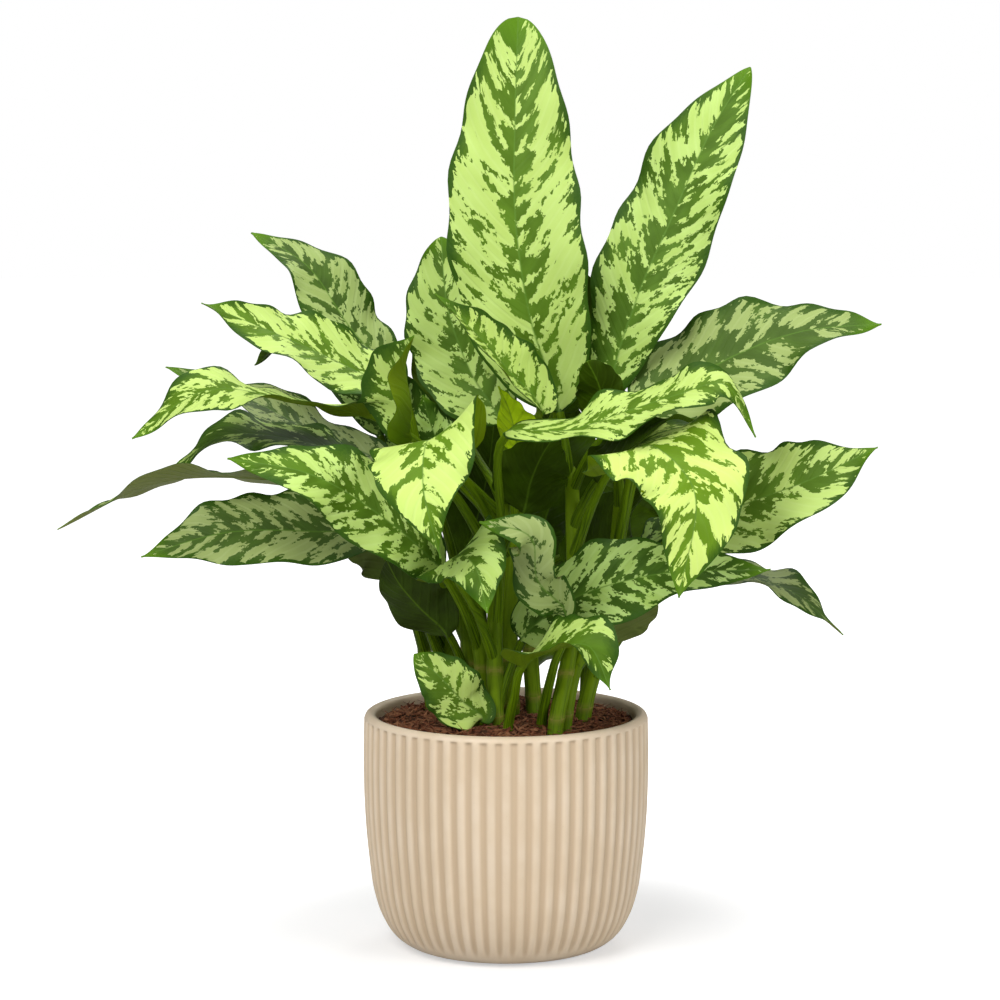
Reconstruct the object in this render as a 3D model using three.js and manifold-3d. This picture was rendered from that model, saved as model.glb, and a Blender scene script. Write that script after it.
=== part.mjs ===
// A potted Chinese evergreen (Aglaonema): a ribbed ceramic pot, its soil, the canes that stand in it,
// and the broad waved leaves, each with its own petiole.
// Millimetres, +Z up. The origin is the centre of the pot's flat base, +X is right and -Y is the front.
import * as THREE from "three";
import { mergeVertices } from "three/addons/utils/BufferGeometryUtils.js";
import Module from "manifold-3d";

// ---- Pot ----
const RIB_COUNT = 60;
const RIB_DEPTH = 1.8;
const RIB_CREST_SHARE = 0.5; // share of each rib's pitch that its crest takes
const RIB_TURN = 0.5; // share of a pitch that the ribs are turned by, so that a crest faces the front
// The outside of the pot, crest radius and height, from the flat base up to the plain band under the lip.
const POT_FOOT = [56, 0];
const POT_OUTSIDE = [
  [67, 2.5, 0],
  [76.3, 9.2, 1],
  [86.2, 27.5, 1],
  [92, 61, 1],
  [95, 151.5, 1],
  [94.9, 153.5, 0],
];
const POT_LIP = [
  [93.6, 156.4],
  [91.2, 157.8],
  [87.8, 156.8],
];
const POT_INSIDE = [
  [86.3, 150],
  [83.5, 61],
  [56, 10],
];
const CLEARANCE = 0.35; // between pieces that touch on the real plant

// ---- Soil ----
const SOIL_EDGE_HEIGHT = 150;
const SOIL_MOUND = 4;
const SOIL_LUMP = 1.3;
const SOIL_RINGS = 4;
const SOIL_SIDES = 24;

// ---- Canes ----
const CANE_FOOT_HEIGHT = 112; // how deep the canes stand in the soil
const SHOOT_FOOT_HEIGHT = 128; // the petioles that come straight from the soil are shallower
const SHOOT_HOLE_SIDES = 10;
const SOIL_HOLE_RISE = 14; // a hole's cutter ends well above the surface
const CANE_SIDES = 7;
const BUD_LENGTH = 7; // the growing tip that ends each cane
const BUD_RADIUS = 1.2;
const SCAR_TOP = 214; // leaf scars ring the canes up to here; leaf sheaths hide them above
const SCAR_PITCH = 30;
const SCAR_BULGE = 1.08;
const SCAR_HEIGHT = 4.4;
const FIRST_SCAR = 6; // above the soil
const UPPER_STEP = 25; // between the rings of a cane above its last scar
// Each cane: radius at the soil and at the top, and its line from the soil up.
const CANES = {
  centre: { radius: [6, 4.6], line: [[-7, -34, 152], [-7, -20, 234], [0, -4, 322]] },
  right: { radius: [5.6, 4.6], line: [[32, -52, 152], [42, -30, 205], [44, 6, 322]] },
  far_right: { radius: [5.8, 4.6], line: [[51, -12, 152], [67, 14, 212], [78, 34, 300]] },
  left: { radius: [6, 4.6], line: [[-37, 14, 152], [-42, 20, 215], [-50, 24, 296]] },
  far_left: { radius: [5, 4.4], line: [[-50, 30, 152], [-62, 44, 230]] },
  back: { radius: [6.8, 4.6], line: [[3, 0, 152], [3, 30, 232], [12, 50, 316]] },
  back_right: { radius: [6, 4.6], line: [[19, 10, 152], [17, 40, 205], [28, 74, 258]] },
  back_left: { radius: [6.5, 4.6], line: [[-22, 58, 152], [-34, 78, 250]] },
  inner: { radius: [4.2, 4], line: [[39, -40, 152], [48, -26, 198], [54, -18, 214]] },
  left_inner: { radius: [4.4, 4.2], line: [[-22, -4, 152], [-29, 6, 240]] },
  stub: { radius: [3.6, 6.6], line: [[-13, -16, 152], [-20, -17, 236]] },
};

// ---- Leaves ----
const BLADE_THICKNESS = 0.8;
const MIDRIB_DEPTH = 1.1; // how far the midrib stands out under the blade at its base
const PETIOLE_RADIUS = 2.8;
const SHEATH_RADIUS = 4.1; // where the petiole clasps its cane
const BEND_OUT = 0.45; // the petiole's middle point, as shares of its reach and of its rise
const BEND_UP = 0.54;
const PETIOLE_FLATNESS = 0.88; // how narrow its section is at the sides
const TIP_HALF_WIDTH = 0.7;
const OUTLINE_FULLNESS = 0.62; // the power of the sine that a blade's outline follows, at its base
const TIP_TAPER = 0.45; // how drawn out a blade's tip is; 0 is a blunt tip
const BELLY = 0.8; // where a blade is widest: 1 is halfway, less is nearer its base
const STALK_FADE = 0.1; // the share of the blade over which the petiole fades into the midrib
const FOLD_CURVE = 1.3; // 1 folds the halves flat, more curves them up
const WAVE_RISE = 0.6; // how soon the waves reach their height from the base and the tip
const HALF_PHASE = 2; // radians by which the right half's waves run ahead of the left's
const LEAF_PHASE = 2.4; // radians between one leaf's waves and the next leaf's
const PETIOLE_STATIONS = [0, 0.3, 0.7];
const SHEATH_END = 0.66; // the share of the petiole over which its sheath narrows
const SHOOT_STATIONS = [0.6, 0.82];
const SHOOT_BEND_RISE = 3; // a shoot's petiole is straight up to here over the soil
const BLADE_STATIONS = [0.02, 0.12, 0.25, 0.39, 0.53, 0.67, 0.8, 0.92, 1];
const ACROSS = [-1, -0.52, 0, 0.52, 1];
// Each leaf: the cane it grows on and the height it leaves it (or its own root in the soil), the midrib
// from the blade's base to its tip, the way its upper face looks at the base and at the tip, the blade's
// width, how far it folds up about the midrib, and the height and number of its edge waves.
const LEAVES = [
  {
    name: "crown", cane: "right", root: 300,
    midrib: [[36, 20, 357], [16, 14, 420], [6, 16, 488], [6, 26, 553], [8, 42, 618]],
    face: [[-0.2, -1, 0.1], [0, -1, 0.3]],
    width: 90, fold: 0.2, wave: 4, waves: 2.4, taper: -0.15,
  },
  {
    name: "right_upright", cane: "far_right", root: 290,
    midrib: [[70, 26, 364], [87, 28, 431], [111, 34, 486], [140, 46, 548], [164, 60, 585]],
    face: [[-0.3, -1, 0.2], [-0.3, -1, 0.5]],
    width: 70, fold: 0.15, wave: 6, waves: 2.6, belly: 0.95, taper: 0.1,
  },
  {
    name: "left_upright", cane: "back", root: 280,
    midrib: [[-3, 42, 346], [-24, 52, 381], [-39, 60, 422], [-44, 72, 471]],
    face: [[-0.3, -1, 0.3], [-0.2, -1, 0.4]],
    width: 66, fold: 0.2, wave: 3, waves: 2.4, taper: 0,
  },
  {
    name: "young", cane: "centre", root: 312,
    midrib: [[22, -16, 359], [1, -34, 389], [-22, -46, 416], [-46, -52, 440]],
    face: [[0.4, -0.8, 0.7], [0.3, -0.8, 0.7]],
    width: 36, fold: 0.7, wave: 2, waves: 2.4, belly: 0.62,
  },
  {
    name: "upper_left_far", cane: "left", root: 247,
    midrib: [[-71, 55, 367], [-107, 68, 411], [-138, 80, 453], [-174, 88, 473]],
    face: [[0.1, -0.45, 0.9], [0, -0.5, 0.8]],
    width: 54, fold: 0.15, wave: 3, waves: 2.4, belly: 0.9,
  },
  {
    name: "upper_left", cane: "left", root: 288,
    midrib: [[-70, 14, 368], [-104, 10, 387], [-149, 0, 409], [-200, -8, 431]],
    face: [[0, -0.5, 0.85], [-0.3, -0.5, 0.8]],
    width: 66, fold: 0.12, wave: 4, waves: 2.4, belly: 0.7,
  },
  {
    name: "left_arch", cane: "centre", root: 290,
    midrib: [[-90, -30, 360], [-135, -45, 369], [-191, -55, 378], [-241, -60, 347]],
    face: [[-0.1, 0.3, 0.9], [-0.3, -0.7, 0.7]],
    width: 62, fold: 0.05, wave: 5, waves: 2.4,
  },
  {
    name: "left_pale", cane: "left", root: 208,
    midrib: [[-78, 23, 318], [-125, 38, 339], [-179, 47, 365], [-230, 52, 384]],
    face: [[0, -0.2, 1], [-0.1, -0.3, 1]],
    width: 58, fold: 0.1, wave: 4, waves: 2.4,
  },
  {
    name: "left_back", cane: "far_left", root: 222,
    midrib: [[-86, 72, 336], [-116, 108, 388], [-148, 140, 400], [-178, 166, 376]],
    face: [[-0.3, -0.1, 1], [-0.3, 0.3, 1]],
    width: 44, fold: 0.1, wave: 4, waves: 2.4,
  },
  {
    name: "left_shade", cane: "left_inner", root: 226,
    midrib: [[-98, -8, 326], [-144, -12, 342], [-187, -18, 344], [-220, -22, 321]],
    face: [[0, -0.2, 1], [-0.3, -0.3, 1]],
    width: 60, fold: 0.1, wave: 4, waves: 2.4,
  },
  {
    name: "left_edge_on", cane: "left", root: 196,
    midrib: [[-105, -16, 306], [-165, -20, 317], [-226, -24, 315], [-294, -30, 284]],
    face: [[0, 0.3, 1], [0, 0.2, 1]],
    width: 56, fold: 0.1, wave: 4, waves: 2.4,
  },
  {
    name: "left_low", cane: "left", root: 176,
    midrib: [[-84, -28, 278], [-128, -40, 284], [-183, -48, 284], [-237, -52, 269]],
    face: [[0, -0.6, 0.8], [-0.2, -0.7, 0.7]],
    width: 66, fold: 0.08, wave: 3, waves: 2.4,
  },
  {
    name: "front_left", cane: "stub", root: 200,
    midrib: [[-42, -46, 258], [-78, -76, 297], [-125, -95, 328], [-176, -105, 339]],
    face: [[0.3, -0.8, 0.5], [-0.1, -0.7, 0.7]],
    width: 60, fold: 0.1, wave: 4, waves: 2.4,
  },
  {
    name: "front_drooping", cane: "centre", root: 276,
    midrib: [[-35, -54, 330], [-50, -96, 349], [-52, -126, 324], [-41, -138, 280]],
    face: [[-0.4, 0, 0.9], [-0.1, -1, 0.2]],
    width: 78, fold: 0.22, wave: 11, waves: 1.6, phase: 4.84, belly: 0.62, taper: 0.8,
  },
  {
    name: "left_folded", cane: "centre", root: 256,
    midrib: [[-63, -46, 344], [-62, -55, 369], [-65, -60, 394], [-59, -66, 414]],
    face: [[-0.85, -0.5, 0.2], [-0.7, -0.6, 0.6]],
    width: 42, fold: 1.2, wave: 2, waves: 2.4,
  },
  {
    name: "right_wavy", cane: "centre", root: 218,
    midrib: [[1, -54, 349], [42, -62, 353], [79, -68, 366], [111, -74, 377], [137, -78, 384], [159, -82, 350]],
    face: [[-0.05, -0.15, 1], [0.4, -0.6, 0.6]],
    width: 58, fold: 0.05, wave: 5, waves: 2.9, belly: 0.6, phase: 1.48,
  },
  {
    name: "right_broad", cane: "far_right", root: 250,
    midrib: [[93, 12, 354], [142, 10, 390], [194, 5, 411], [247, -5, 417]],
    face: [[-0.2, -0.75, 0.65], [0.1, -0.6, 0.8]],
    width: 82, fold: 0.1, wave: 5, waves: 2.4, belly: 0.62,
  },
  {
    name: "right_mid", cane: "far_right", root: 220,
    midrib: [[110, 5, 273], [155, -10, 297], [200, -22, 316], [243, -28, 338]],
    face: [[-0.1, -0.8, 0.6], [0.1, -0.7, 0.7]],
    width: 74, fold: 0.1, wave: 5, waves: 2.4,
  },
  {
    name: "right_drooping", cane: "right", root: 264,
    midrib: [[69, -48, 327], [93, -88, 345], [117, -118, 322], [108, -130, 254]],
    face: [[0.2, -0.6, 0.8], [0.35, -1, 0.2]],
    width: 88, fold: 0.1, wave: 5, waves: 4.2, belly: 0.6, phase: 5.2, taper: 0.3,
  },
  {
    name: "right_low", cane: "centre", root: 160,
    midrib: [[11, -22, 209], [39, -36, 236], [87, -56, 256], [170, -74, 264]],
    face: [[-0.3, -0.7, 0.6], [0.1, -0.7, 0.7]],
    width: 66, fold: 0.1, wave: 5, waves: 2.4, belly: 0.62,
  },
  {
    name: "right_tip", cane: "far_right", root: 176,
    midrib: [[104, 18, 236], [150, 4, 250], [190, -8, 239], [223, -18, 212]],
    face: [[0.1, -0.25, 0.95], [0.4, -0.2, 0.9]],
    width: 56, fold: 0.1, wave: 4, waves: 2.4,
  },
  {
    name: "twisted", soil: [23, -40, 152],
    midrib: [[40, -73, 234], [20, -86, 259], [16, -96, 287], [-17, -108, 299]],
    face: [[-0.6, -0.8, 0.2], [-0.2, -0.9, 0.5]],
    width: 36, fold: 0.15, wave: 4, waves: 1.8,
  },
  {
    name: "small_front", cane: "centre", root: 196,
    midrib: [[-33, -58, 259], [-30, -84, 275], [-19, -108, 269], [-12, -116, 242]],
    face: [[-0.36, -0.35, 0.87], [0.1, -0.95, 0.3]],
    width: 60, fold: 0.12, wave: 6, waves: 1.4, belly: 0.6, phase: 4.84,
  },
  {
    name: "offshoot_right", soil: [1, -48, 152],
    midrib: [[11, -80, 203], [29, -96, 215], [51, -108, 220], [66, -112, 192]],
    face: [[-0.1, -0.05, 0.95], [0.3, -0.75, 0.65]],
    width: 52, fold: 0.48, wave: 4, waves: 2, belly: 0.58,
  },
  {
    name: "offshoot_left", soil: [-19, -32, 152],
    midrib: [[-15, -38, 159], [-28, -44, 172], [-43, -48, 189], [-60, -52, 205]],
    face: [[-0.3, -0.8, 0.5], [-0.3, -0.8, 0.5]],
    width: 40, fold: 0.15, wave: 2, waves: 1.8, taper: 0.1,
  },
  {
    name: "low_underside", cane: "left_inner", root: 170,
    midrib: [[-38, -16, 212], [-57, -24, 232], [-71, -30, 250], [-78, -33, 264]],
    face: [[0.3, 0.9, 0.3], [0.3, 0.9, 0.3]],
    width: 46, fold: 0.2, wave: 3, waves: 2.4, taper: 0.1,
  },
  {
    name: "low_left", cane: "far_left", root: 190,
    midrib: [[-74, 20, 245], [-87, 28, 264], [-103, 38, 275], [-124, 50, 279]],
    face: [[0.2, 0.9, 0.3], [0.1, 0.9, 0.3]],
    width: 48, fold: 0.1, wave: 4, waves: 2.4,
  },
  {
    name: "right_underside", cane: "inner", root: 190,
    midrib: [[65, -10, 209], [74, -13, 223], [83, -12, 239], [92, -10, 257]],
    face: [[-0.2, 0.9, 0.3], [-0.2, 0.9, 0.3]],
    width: 54, fold: 0.2, wave: 3, waves: 2.4, taper: 0.1,
  },
  {
    name: "centre_underside", cane: "right", root: 282,
    midrib: [[60, -18, 315], [72, -20, 325], [92, -22, 338], [125, -26, 356]],
    face: [[-0.3, 0.5, 0.8], [0, 0.5, 0.85]],
    width: 76, fold: 0.15, wave: 4, waves: 2.4,
  },
  {
    name: "back_crown", cane: "back", root: 298,
    midrib: [[34, 76, 352], [38, 100, 400], [34, 132, 442], [28, 172, 470]],
    face: [[0.2, 0.8, 0.6], [0.2, 0.6, 0.8]],
    width: 74, fold: 0.15, wave: 5, waves: 2.4,
  },
  {
    name: "back_right_high", cane: "far_right", root: 244,
    midrib: [[98, 60, 346], [137, 92, 380], [173, 118, 398], [208, 142, 394]],
    face: [[0.1, 0.3, 1], [0.4, 0.4, 0.8]],
    width: 68, fold: 0.1, wave: 5, waves: 2.4,
  },
  {
    name: "back_right_mid", cane: "far_right", root: 186,
    midrib: [[98, 68, 258], [134, 98, 284], [168, 126, 296], [196, 150, 284]],
    face: [[0.1, 0.3, 1], [0.4, 0.4, 0.8]],
    width: 64, fold: 0.1, wave: 4, waves: 2.4,
  },
  {
    name: "back_right_low", cane: "far_right", root: 162,
    midrib: [[55, 58, 226], [66, 64, 251], [80, 74, 277], [101, 90, 298]],
    face: [[-0.1, 0.7, 0.7], [0.2, 0.6, 0.8]],
    width: 72, fold: 0.1, wave: 5, waves: 2.4,
  },
  {
    name: "back_low", cane: "back_right", root: 218,
    midrib: [[24, 74, 267], [33, 98, 297], [36, 122, 327], [38, 144, 364]],
    face: [[0, 0.8, 0.6], [0.1, 0.7, 0.8]],
    width: 68, fold: 0.1, wave: 5, waves: 2.4,
  },
  {
    name: "back_arch", cane: "back_right", root: 244,
    midrib: [[75, 108, 259], [87, 138, 285], [93, 164, 318], [99, 184, 348]],
    face: [[0.1, 0.8, 0.6], [0.2, 0.7, 0.7]],
    width: 72, fold: 0.1, wave: 5, waves: 2.4,
  },
  {
    name: "back_left_high", cane: "back_left", root: 212,
    midrib: [[-30, 98, 242], [-21, 124, 271], [-12, 150, 307], [-7, 176, 352]],
    face: [[0, 0.8, 0.6], [-0.1, 0.7, 0.7]],
    width: 84, fold: 0.1, wave: 5, waves: 2.4,
  },
  {
    name: "inner_left", cane: "back", root: 256,
    midrib: [[-37, 37, 314], [-46, 39, 334], [-52, 40, 350], [-56, 40, 366]],
    face: [[0.3, -0.8, 0.5], [0.2, -0.7, 0.6]],
    width: 36, fold: 0.1, wave: 4, waves: 2.4,
  },
  {
    name: "back_hanging", cane: "back_right", root: 180,
    midrib: [[35, 90, 185], [39, 108, 212], [42, 130, 240], [46, 154, 271]],
    face: [[0, 0.8, 0.6], [0.1, 0.7, 0.7]],
    width: 72, fold: 0.1, wave: 4, waves: 2.4, taper: 0.1,
  },
  {
    name: "back_left_low", cane: "back_left", root: 190,
    midrib: [[-64, 96, 256], [-96, 118, 278], [-130, 140, 280], [-166, 158, 258]],
    face: [[0, 0.1, 1], [-0.4, 0.5, 0.8]],
    width: 70, fold: 0.1, wave: 5, waves: 2.4,
  },
  {
    name: "back_left_mid", cane: "back_left", root: 224,
    midrib: [[-49, 58, 297], [-58, 62, 327], [-68, 68, 355], [-78, 78, 383]],
    face: [[0.2, -0.7, 0.6], [0.2, -0.6, 0.7]],
    width: 50, fold: 0.1, wave: 4, waves: 2.4,
  },
  {
    name: "back_upright", cane: "back", root: 270,
    midrib: [[-26, 98, 330], [-34, 116, 380], [-40, 134, 424], [-44, 160, 456]],
    face: [[-0.2, 0.7, 0.5], [0, 0.6, 0.7]],
    width: 62, fold: 0.15, wave: 4, waves: 2.4,
  },
  {
    name: "unrolling", cane: "centre", root: 298,
    midrib: [[8, -25, 333], [6, -28, 349], [2, -32, 364], [-5, -38, 379]],
    face: [[0.5, 0.8, 0.3], [0.5, 0.8, 0.3]],
    width: 33, fold: 0.3, wave: 1.5, waves: 1.8, belly: 0.5, taper: 0.9,
  },
  {
    name: "curled", cane: "right", root: 306,
    midrib: [[67, -2, 348], [64, -10, 365], [60, -18, 380], [53, -24, 394]],
    face: [[0, 1, 0.1], [-0.2, 1, 0.3]],
    width: 32, fold: 0.35, wave: 1.5, waves: 1.8, taper: -0.1,
  },
  {
    name: "front_underside", cane: "centre", root: 262,
    midrib: [[11, -14, 294], [16, -24, 315], [23, -34, 333], [31, -42, 347]],
    face: [[-0.1, 0.9, 0.3], [-0.1, 0.9, 0.4]],
    width: 50, fold: 0.15, wave: 3, waves: 2.4, belly: 0.7, taper: 0,
  },
];

const COLOURS = {
  pot: { color: 0xd8c6ad, roughness: 0.35 },
  soil: { color: 0x5b3a26, roughness: 0.95 },
  cane: { color: 0x93a35f, roughness: 0.6 },
  leaf: { color: 0xb9d184, roughness: 0.45 },
};

const wasm = await Module();
wasm.setup();

// ---- Helpers for lofted solids ----

// A geometry from rings of points (each ring the same length, counter-clockwise seen from the last ring)
// closed by the two caps. flipped(j) says which quads take the other diagonal.
function loft(rings, capTriangles, flipped = () => false) {
  const size = rings[0].length;
  const index = [];
  for (let k = 0; k + 1 < rings.length; k++) {
    for (let j = 0; j < size; j++) {
      const a = k * size + j;
      const b = k * size + ((j + 1) % size);
      const c = b + size;
      const d = a + size;
      if (flipped(j)) index.push(a, b, d, b, c, d);
      else index.push(a, b, c, a, c, d);
    }
  }
  const last = (rings.length - 1) * size;
  for (const [a, b, c] of capTriangles) index.push(c, b, a, last + a, last + b, last + c);
  return geometryOf(rings.flat(), index);
}

function geometryOf(points, index) {
  const geometry = new THREE.BufferGeometry().setFromPoints(points);
  geometry.setIndex(index);
  return geometry;
}

// The triangles of a round cap, as a fan from its first point.
function fanCap(size) {
  return Array.from({ length: size - 2 }, (_, i) => [0, i + 1, i + 2]);
}

function solidOf(geometry) {
  const merged = mergeVertices(geometry, 1e-4);
  return new wasm.Manifold(
    new wasm.Mesh({
      numProp: 3,
      vertProperties: new Float32Array(merged.attributes.position.array),
      triVerts: new Uint32Array(merged.index.array),
    }),
  );
}

// Cutting a leaf at its cane can leave a crumb behind, so only the leaf itself is kept.
function largestPiece(solid) {
  return solid.decompose().reduce((best, piece) => (piece.volume() > best.volume() ? piece : best));
}

function geometryOfSolid(solid) {
  const mesh = solid.getMesh();
  const geometry = new THREE.BufferGeometry();
  geometry.setAttribute("position", new THREE.BufferAttribute(mesh.vertProperties, 3));
  geometry.setIndex(new THREE.BufferAttribute(mesh.triVerts, 1));
  return geometry;
}

// A smooth curve through hand-placed points, with tangents weighed by the spacing of the points.
class Spline {
  constructor(points) {
    this.points = points;
    this.knots = [0];
    for (let i = 1; i < points.length; i++) {
      this.knots.push(this.knots[i - 1] + points[i].distanceTo(points[i - 1]));
    }
    const slopes = points.slice(1).map((p, i) => {
      return p.clone().sub(points[i]).divideScalar(this.span(i));
    });
    this.tangents = points.map((_, i) => {
      if (i === 0) return slopes[0];
      if (i === points.length - 1) return slopes[i - 1];
      const share = this.span(i - 1) / (this.span(i - 1) + this.span(i));
      return slopes[i - 1].clone().lerp(slopes[i], share);
    });
  }
  span(i) {
    return this.knots[i + 1] - this.knots[i];
  }
  at(length) {
    let i = 0;
    while (i < this.points.length - 2 && length > this.knots[i + 1]) i++;
    const h = this.span(i);
    const t = (length - this.knots[i]) / h;
    return new THREE.Vector3()
      .addScaledVector(this.points[i], 2 * t ** 3 - 3 * t ** 2 + 1)
      .addScaledVector(this.tangents[i], h * (t ** 3 - 2 * t ** 2 + t))
      .addScaledVector(this.points[i + 1], 3 * t ** 2 - 2 * t ** 3)
      .addScaledVector(this.tangents[i + 1], h * (t ** 3 - t ** 2));
  }
  tangentAt(length) {
    const end = this.knots[this.knots.length - 1];
    const ahead = this.at(Math.min(length + 0.5, end));
    return ahead.sub(this.at(Math.max(length - 0.5, 0))).normalize();
  }
}

// ---- Pot ----

// One ring of the ribbed outside: a groove point and two crest points for each rib.
function ribbedRing(radius, z) {
  const ring = [];
  for (let i = 0; i < RIB_COUNT; i++) {
    for (const [offset, r] of [
      [0, radius - RIB_DEPTH],
      [0.5 - RIB_CREST_SHARE / 2, radius],
      [0.5 + RIB_CREST_SHARE / 2, radius],
    ]) {
      ring.push(onCircle(r, ((i + RIB_TURN + offset) / RIB_COUNT) * 2 * Math.PI, z));
    }
  }
  return ring;
}

function plainRing(radius, z, sides = RIB_COUNT) {
  return Array.from({ length: sides }, (_, i) =>
    onCircle(radius, ((i + RIB_TURN + 0.5) / sides) * 2 * Math.PI, z),
  );
}

function onCircle(radius, angle, z) {
  return new THREE.Vector3(radius * Math.cos(angle), radius * Math.sin(angle), z);
}

function circle(radius, centre, sides) {
  const turn = (2 * Math.PI) / sides;
  return Array.from({ length: sides }, (_, i) => onCircle(radius, i * turn, 0).add(centre));
}

// Joins rings in order from the centre of the base, over the outside and the lip, to the floor's centre.
function potGeometry() {
  const points = [new THREE.Vector3(0, 0, POT_FOOT[1])];
  const index = [];
  let previous = null;
  const addRing = (ring) => {
    const start = points.length;
    points.push(...ring);
    if (!previous) {
      ring.forEach((_, i) => index.push(0, start + ((i + 1) % ring.length), start + i));
    } else {
      joinRings(index, previous, { start, size: ring.length });
    }
    previous = { start, size: ring.length };
  };
  addRing(plainRing(...POT_FOOT));
  for (const [radius, z, ribbed] of POT_OUTSIDE) {
    addRing(ribbed ? ribbedRing(radius, z) : plainRing(radius, z));
  }
  for (const [radius, z] of [...POT_LIP, ...POT_INSIDE]) addRing(plainRing(radius, z));
  const floor = points.length;
  points.push(new THREE.Vector3(0, 0, POT_INSIDE[POT_INSIDE.length - 1][1]));
  for (let i = 0; i < RIB_COUNT; i++) {
    index.push(previous.start + i, previous.start + ((i + 1) % RIB_COUNT), floor);
  }
  return geometryOf(points, index);
}

// Triangles between two rings that have one or three points for each rib.
function joinRings(index, lower, upper) {
  const perLower = lower.size / RIB_COUNT;
  const perUpper = upper.size / RIB_COUNT;
  const low = (i) => lower.start + (i + lower.size) % lower.size;
  const high = (i) => upper.start + (i + upper.size) % upper.size;
  for (let rib = 0; rib < RIB_COUNT; rib++) {
    if (perLower === perUpper) {
      for (let j = rib * perLower; j < (rib + 1) * perLower; j++) {
        index.push(low(j), low(j + 1), high(j + 1), low(j), high(j + 1), high(j));
      }
    } else if (perUpper === 3) {
      const j = rib * 3;
      index.push(low(rib - 1), low(rib), high(j));
      index.push(low(rib), high(j + 1), high(j), low(rib), high(j + 2), high(j + 1));
      index.push(low(rib), high(j + 3), high(j + 2));
    } else {
      const j = rib * 3;
      index.push(low(j), high(rib), high(rib - 1));
      index.push(low(j), low(j + 1), high(rib), low(j + 1), low(j + 2), high(rib));
      index.push(low(j + 2), low(j + 3), high(rib));
    }
  }
}

// ---- Soil ----

function soilHeight(x, y) {
  const out = Math.hypot(x, y) / POT_INSIDE[0][0];
  const lumps = Math.sin(x / 6 + 1) * Math.sin(y / 7) + 0.6 * Math.sin(x / 11 - y / 9 + 2);
  return SOIL_EDGE_HEIGHT + SOIL_MOUND * (1 - out ** 2) + SOIL_LUMP * lumps * (1 - out ** 6);
}

// The fill of the pot, from just over its floor to the lumpy surface, with a plain hole for each stem.
function soilSolid(holes) {
  const wall = POT_INSIDE.slice(1).reverse();
  const rings = wall.map(([radius, z]) => plainRing(radius - CLEARANCE, z, SOIL_SIDES));
  rings[0].forEach((p) => (p.z += CLEARANCE));
  for (let k = 0; k < SOIL_RINGS; k++) {
    const radius = (POT_INSIDE[0][0] - CLEARANCE) * (1 - k / SOIL_RINGS);
    const ring = plainRing(radius, 0, SOIL_SIDES);
    ring.forEach((p) => (p.z = soilHeight(p.x, p.y)));
    rings.push(ring);
  }
  let soil = solidOf(loft(rings, fanCap(SOIL_SIDES)));
  for (const hole of holes) soil = soil.subtract(hole);
  return soil;
}

// ---- Canes ----

// The line of a cane, from its foot in the soil to its growing tip.
function caneLine({ line }) {
  const foot = [line[0][0], line[0][1], CANE_FOOT_HEIGHT];
  return new Spline([foot, ...line].map((p) => new THREE.Vector3(...p)));
}

// The middle of a cane at a height.
function caneCentre(cane, z) {
  const spline = caneLine(cane);
  const top = cane.line[cane.line.length - 1][2];
  const along = (z - CANE_FOOT_HEIGHT) / (top - CANE_FOOT_HEIGHT);
  return spline.at(along * spline.knots[spline.knots.length - 1]);
}

// A tapered stem with ring scars where old leaves grew, ending in a pointed bud. spare widens it, and
// lengthens it at both ends, for the hole that it stands in.
function caneSolid(cane, spare = 0) {
  const soilZ = cane.line[0][2];
  const top = cane.line[cane.line.length - 1][2];
  const stations = [{ z: CANE_FOOT_HEIGHT }, { z: soilZ - SCAR_HEIGHT }];
  for (let z = soilZ + FIRST_SCAR; z < Math.min(SCAR_TOP, top - SCAR_PITCH); z += SCAR_PITCH) {
    stations.push({ z }, { z: z + SCAR_HEIGHT / 2, swell: SCAR_BULGE }, { z: z + SCAR_HEIGHT });
  }
  for (let z = SCAR_TOP + UPPER_STEP; z < top - 2 * BUD_LENGTH; z += UPPER_STEP) stations.push({ z });
  stations.push({ z: top - BUD_LENGTH }, { z: top, bud: true });
  const rings = stations.map(({ z, swell = 1, bud }, i) => {
    const along = (z - CANE_FOOT_HEIGHT) / (top - CANE_FOOT_HEIGHT);
    const stem = THREE.MathUtils.lerp(...cane.radius, along) * swell;
    const centre = caneCentre(cane, z);
    if (i === 0) centre.z -= spare;
    if (bud) centre.z += spare;
    return circle((bud ? BUD_RADIUS : stem) + spare, centre, CANE_SIDES);
  });
  return solidOf(loft(rings, fanCap(CANE_SIDES)));
}

// ---- Leaves ----

// The blade's half width at v from its base (0) to its tip (1), as a share of the widest.
function bladeOutline(v, { taper = TIP_TAPER, belly = BELLY }) {
  return Math.sin(Math.PI * v ** belly) ** (OUTLINE_FULLNESS + taper * v * v);
}

// The line of a leaf: up its petiole, which leaves the cane steeply, and along the midrib.
function leafLine(leaf) {
  const base = new THREE.Vector3(...leaf.midrib[0]);
  const root = leaf.soil ? new THREE.Vector3(...leaf.soil) : caneCentre(CANES[leaf.cane], leaf.root);
  const bend = new THREE.Vector3(
    THREE.MathUtils.lerp(root.x, base.x, BEND_OUT),
    THREE.MathUtils.lerp(root.y, base.y, BEND_OUT),
    THREE.MathUtils.lerp(root.z, base.z, BEND_UP),
  );
  const foot = leaf.soil ? [root.clone().setZ(SHOOT_FOOT_HEIGHT)] : [];
  const points = [...foot, root, bend, ...leaf.midrib.map((p) => new THREE.Vector3(...p))];
  const spline = new Spline(points);
  const baseLength = spline.knots[foot.length + 2];
  return { spline, baseLength, endLength: spline.knots[points.length - 1] };
}

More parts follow.
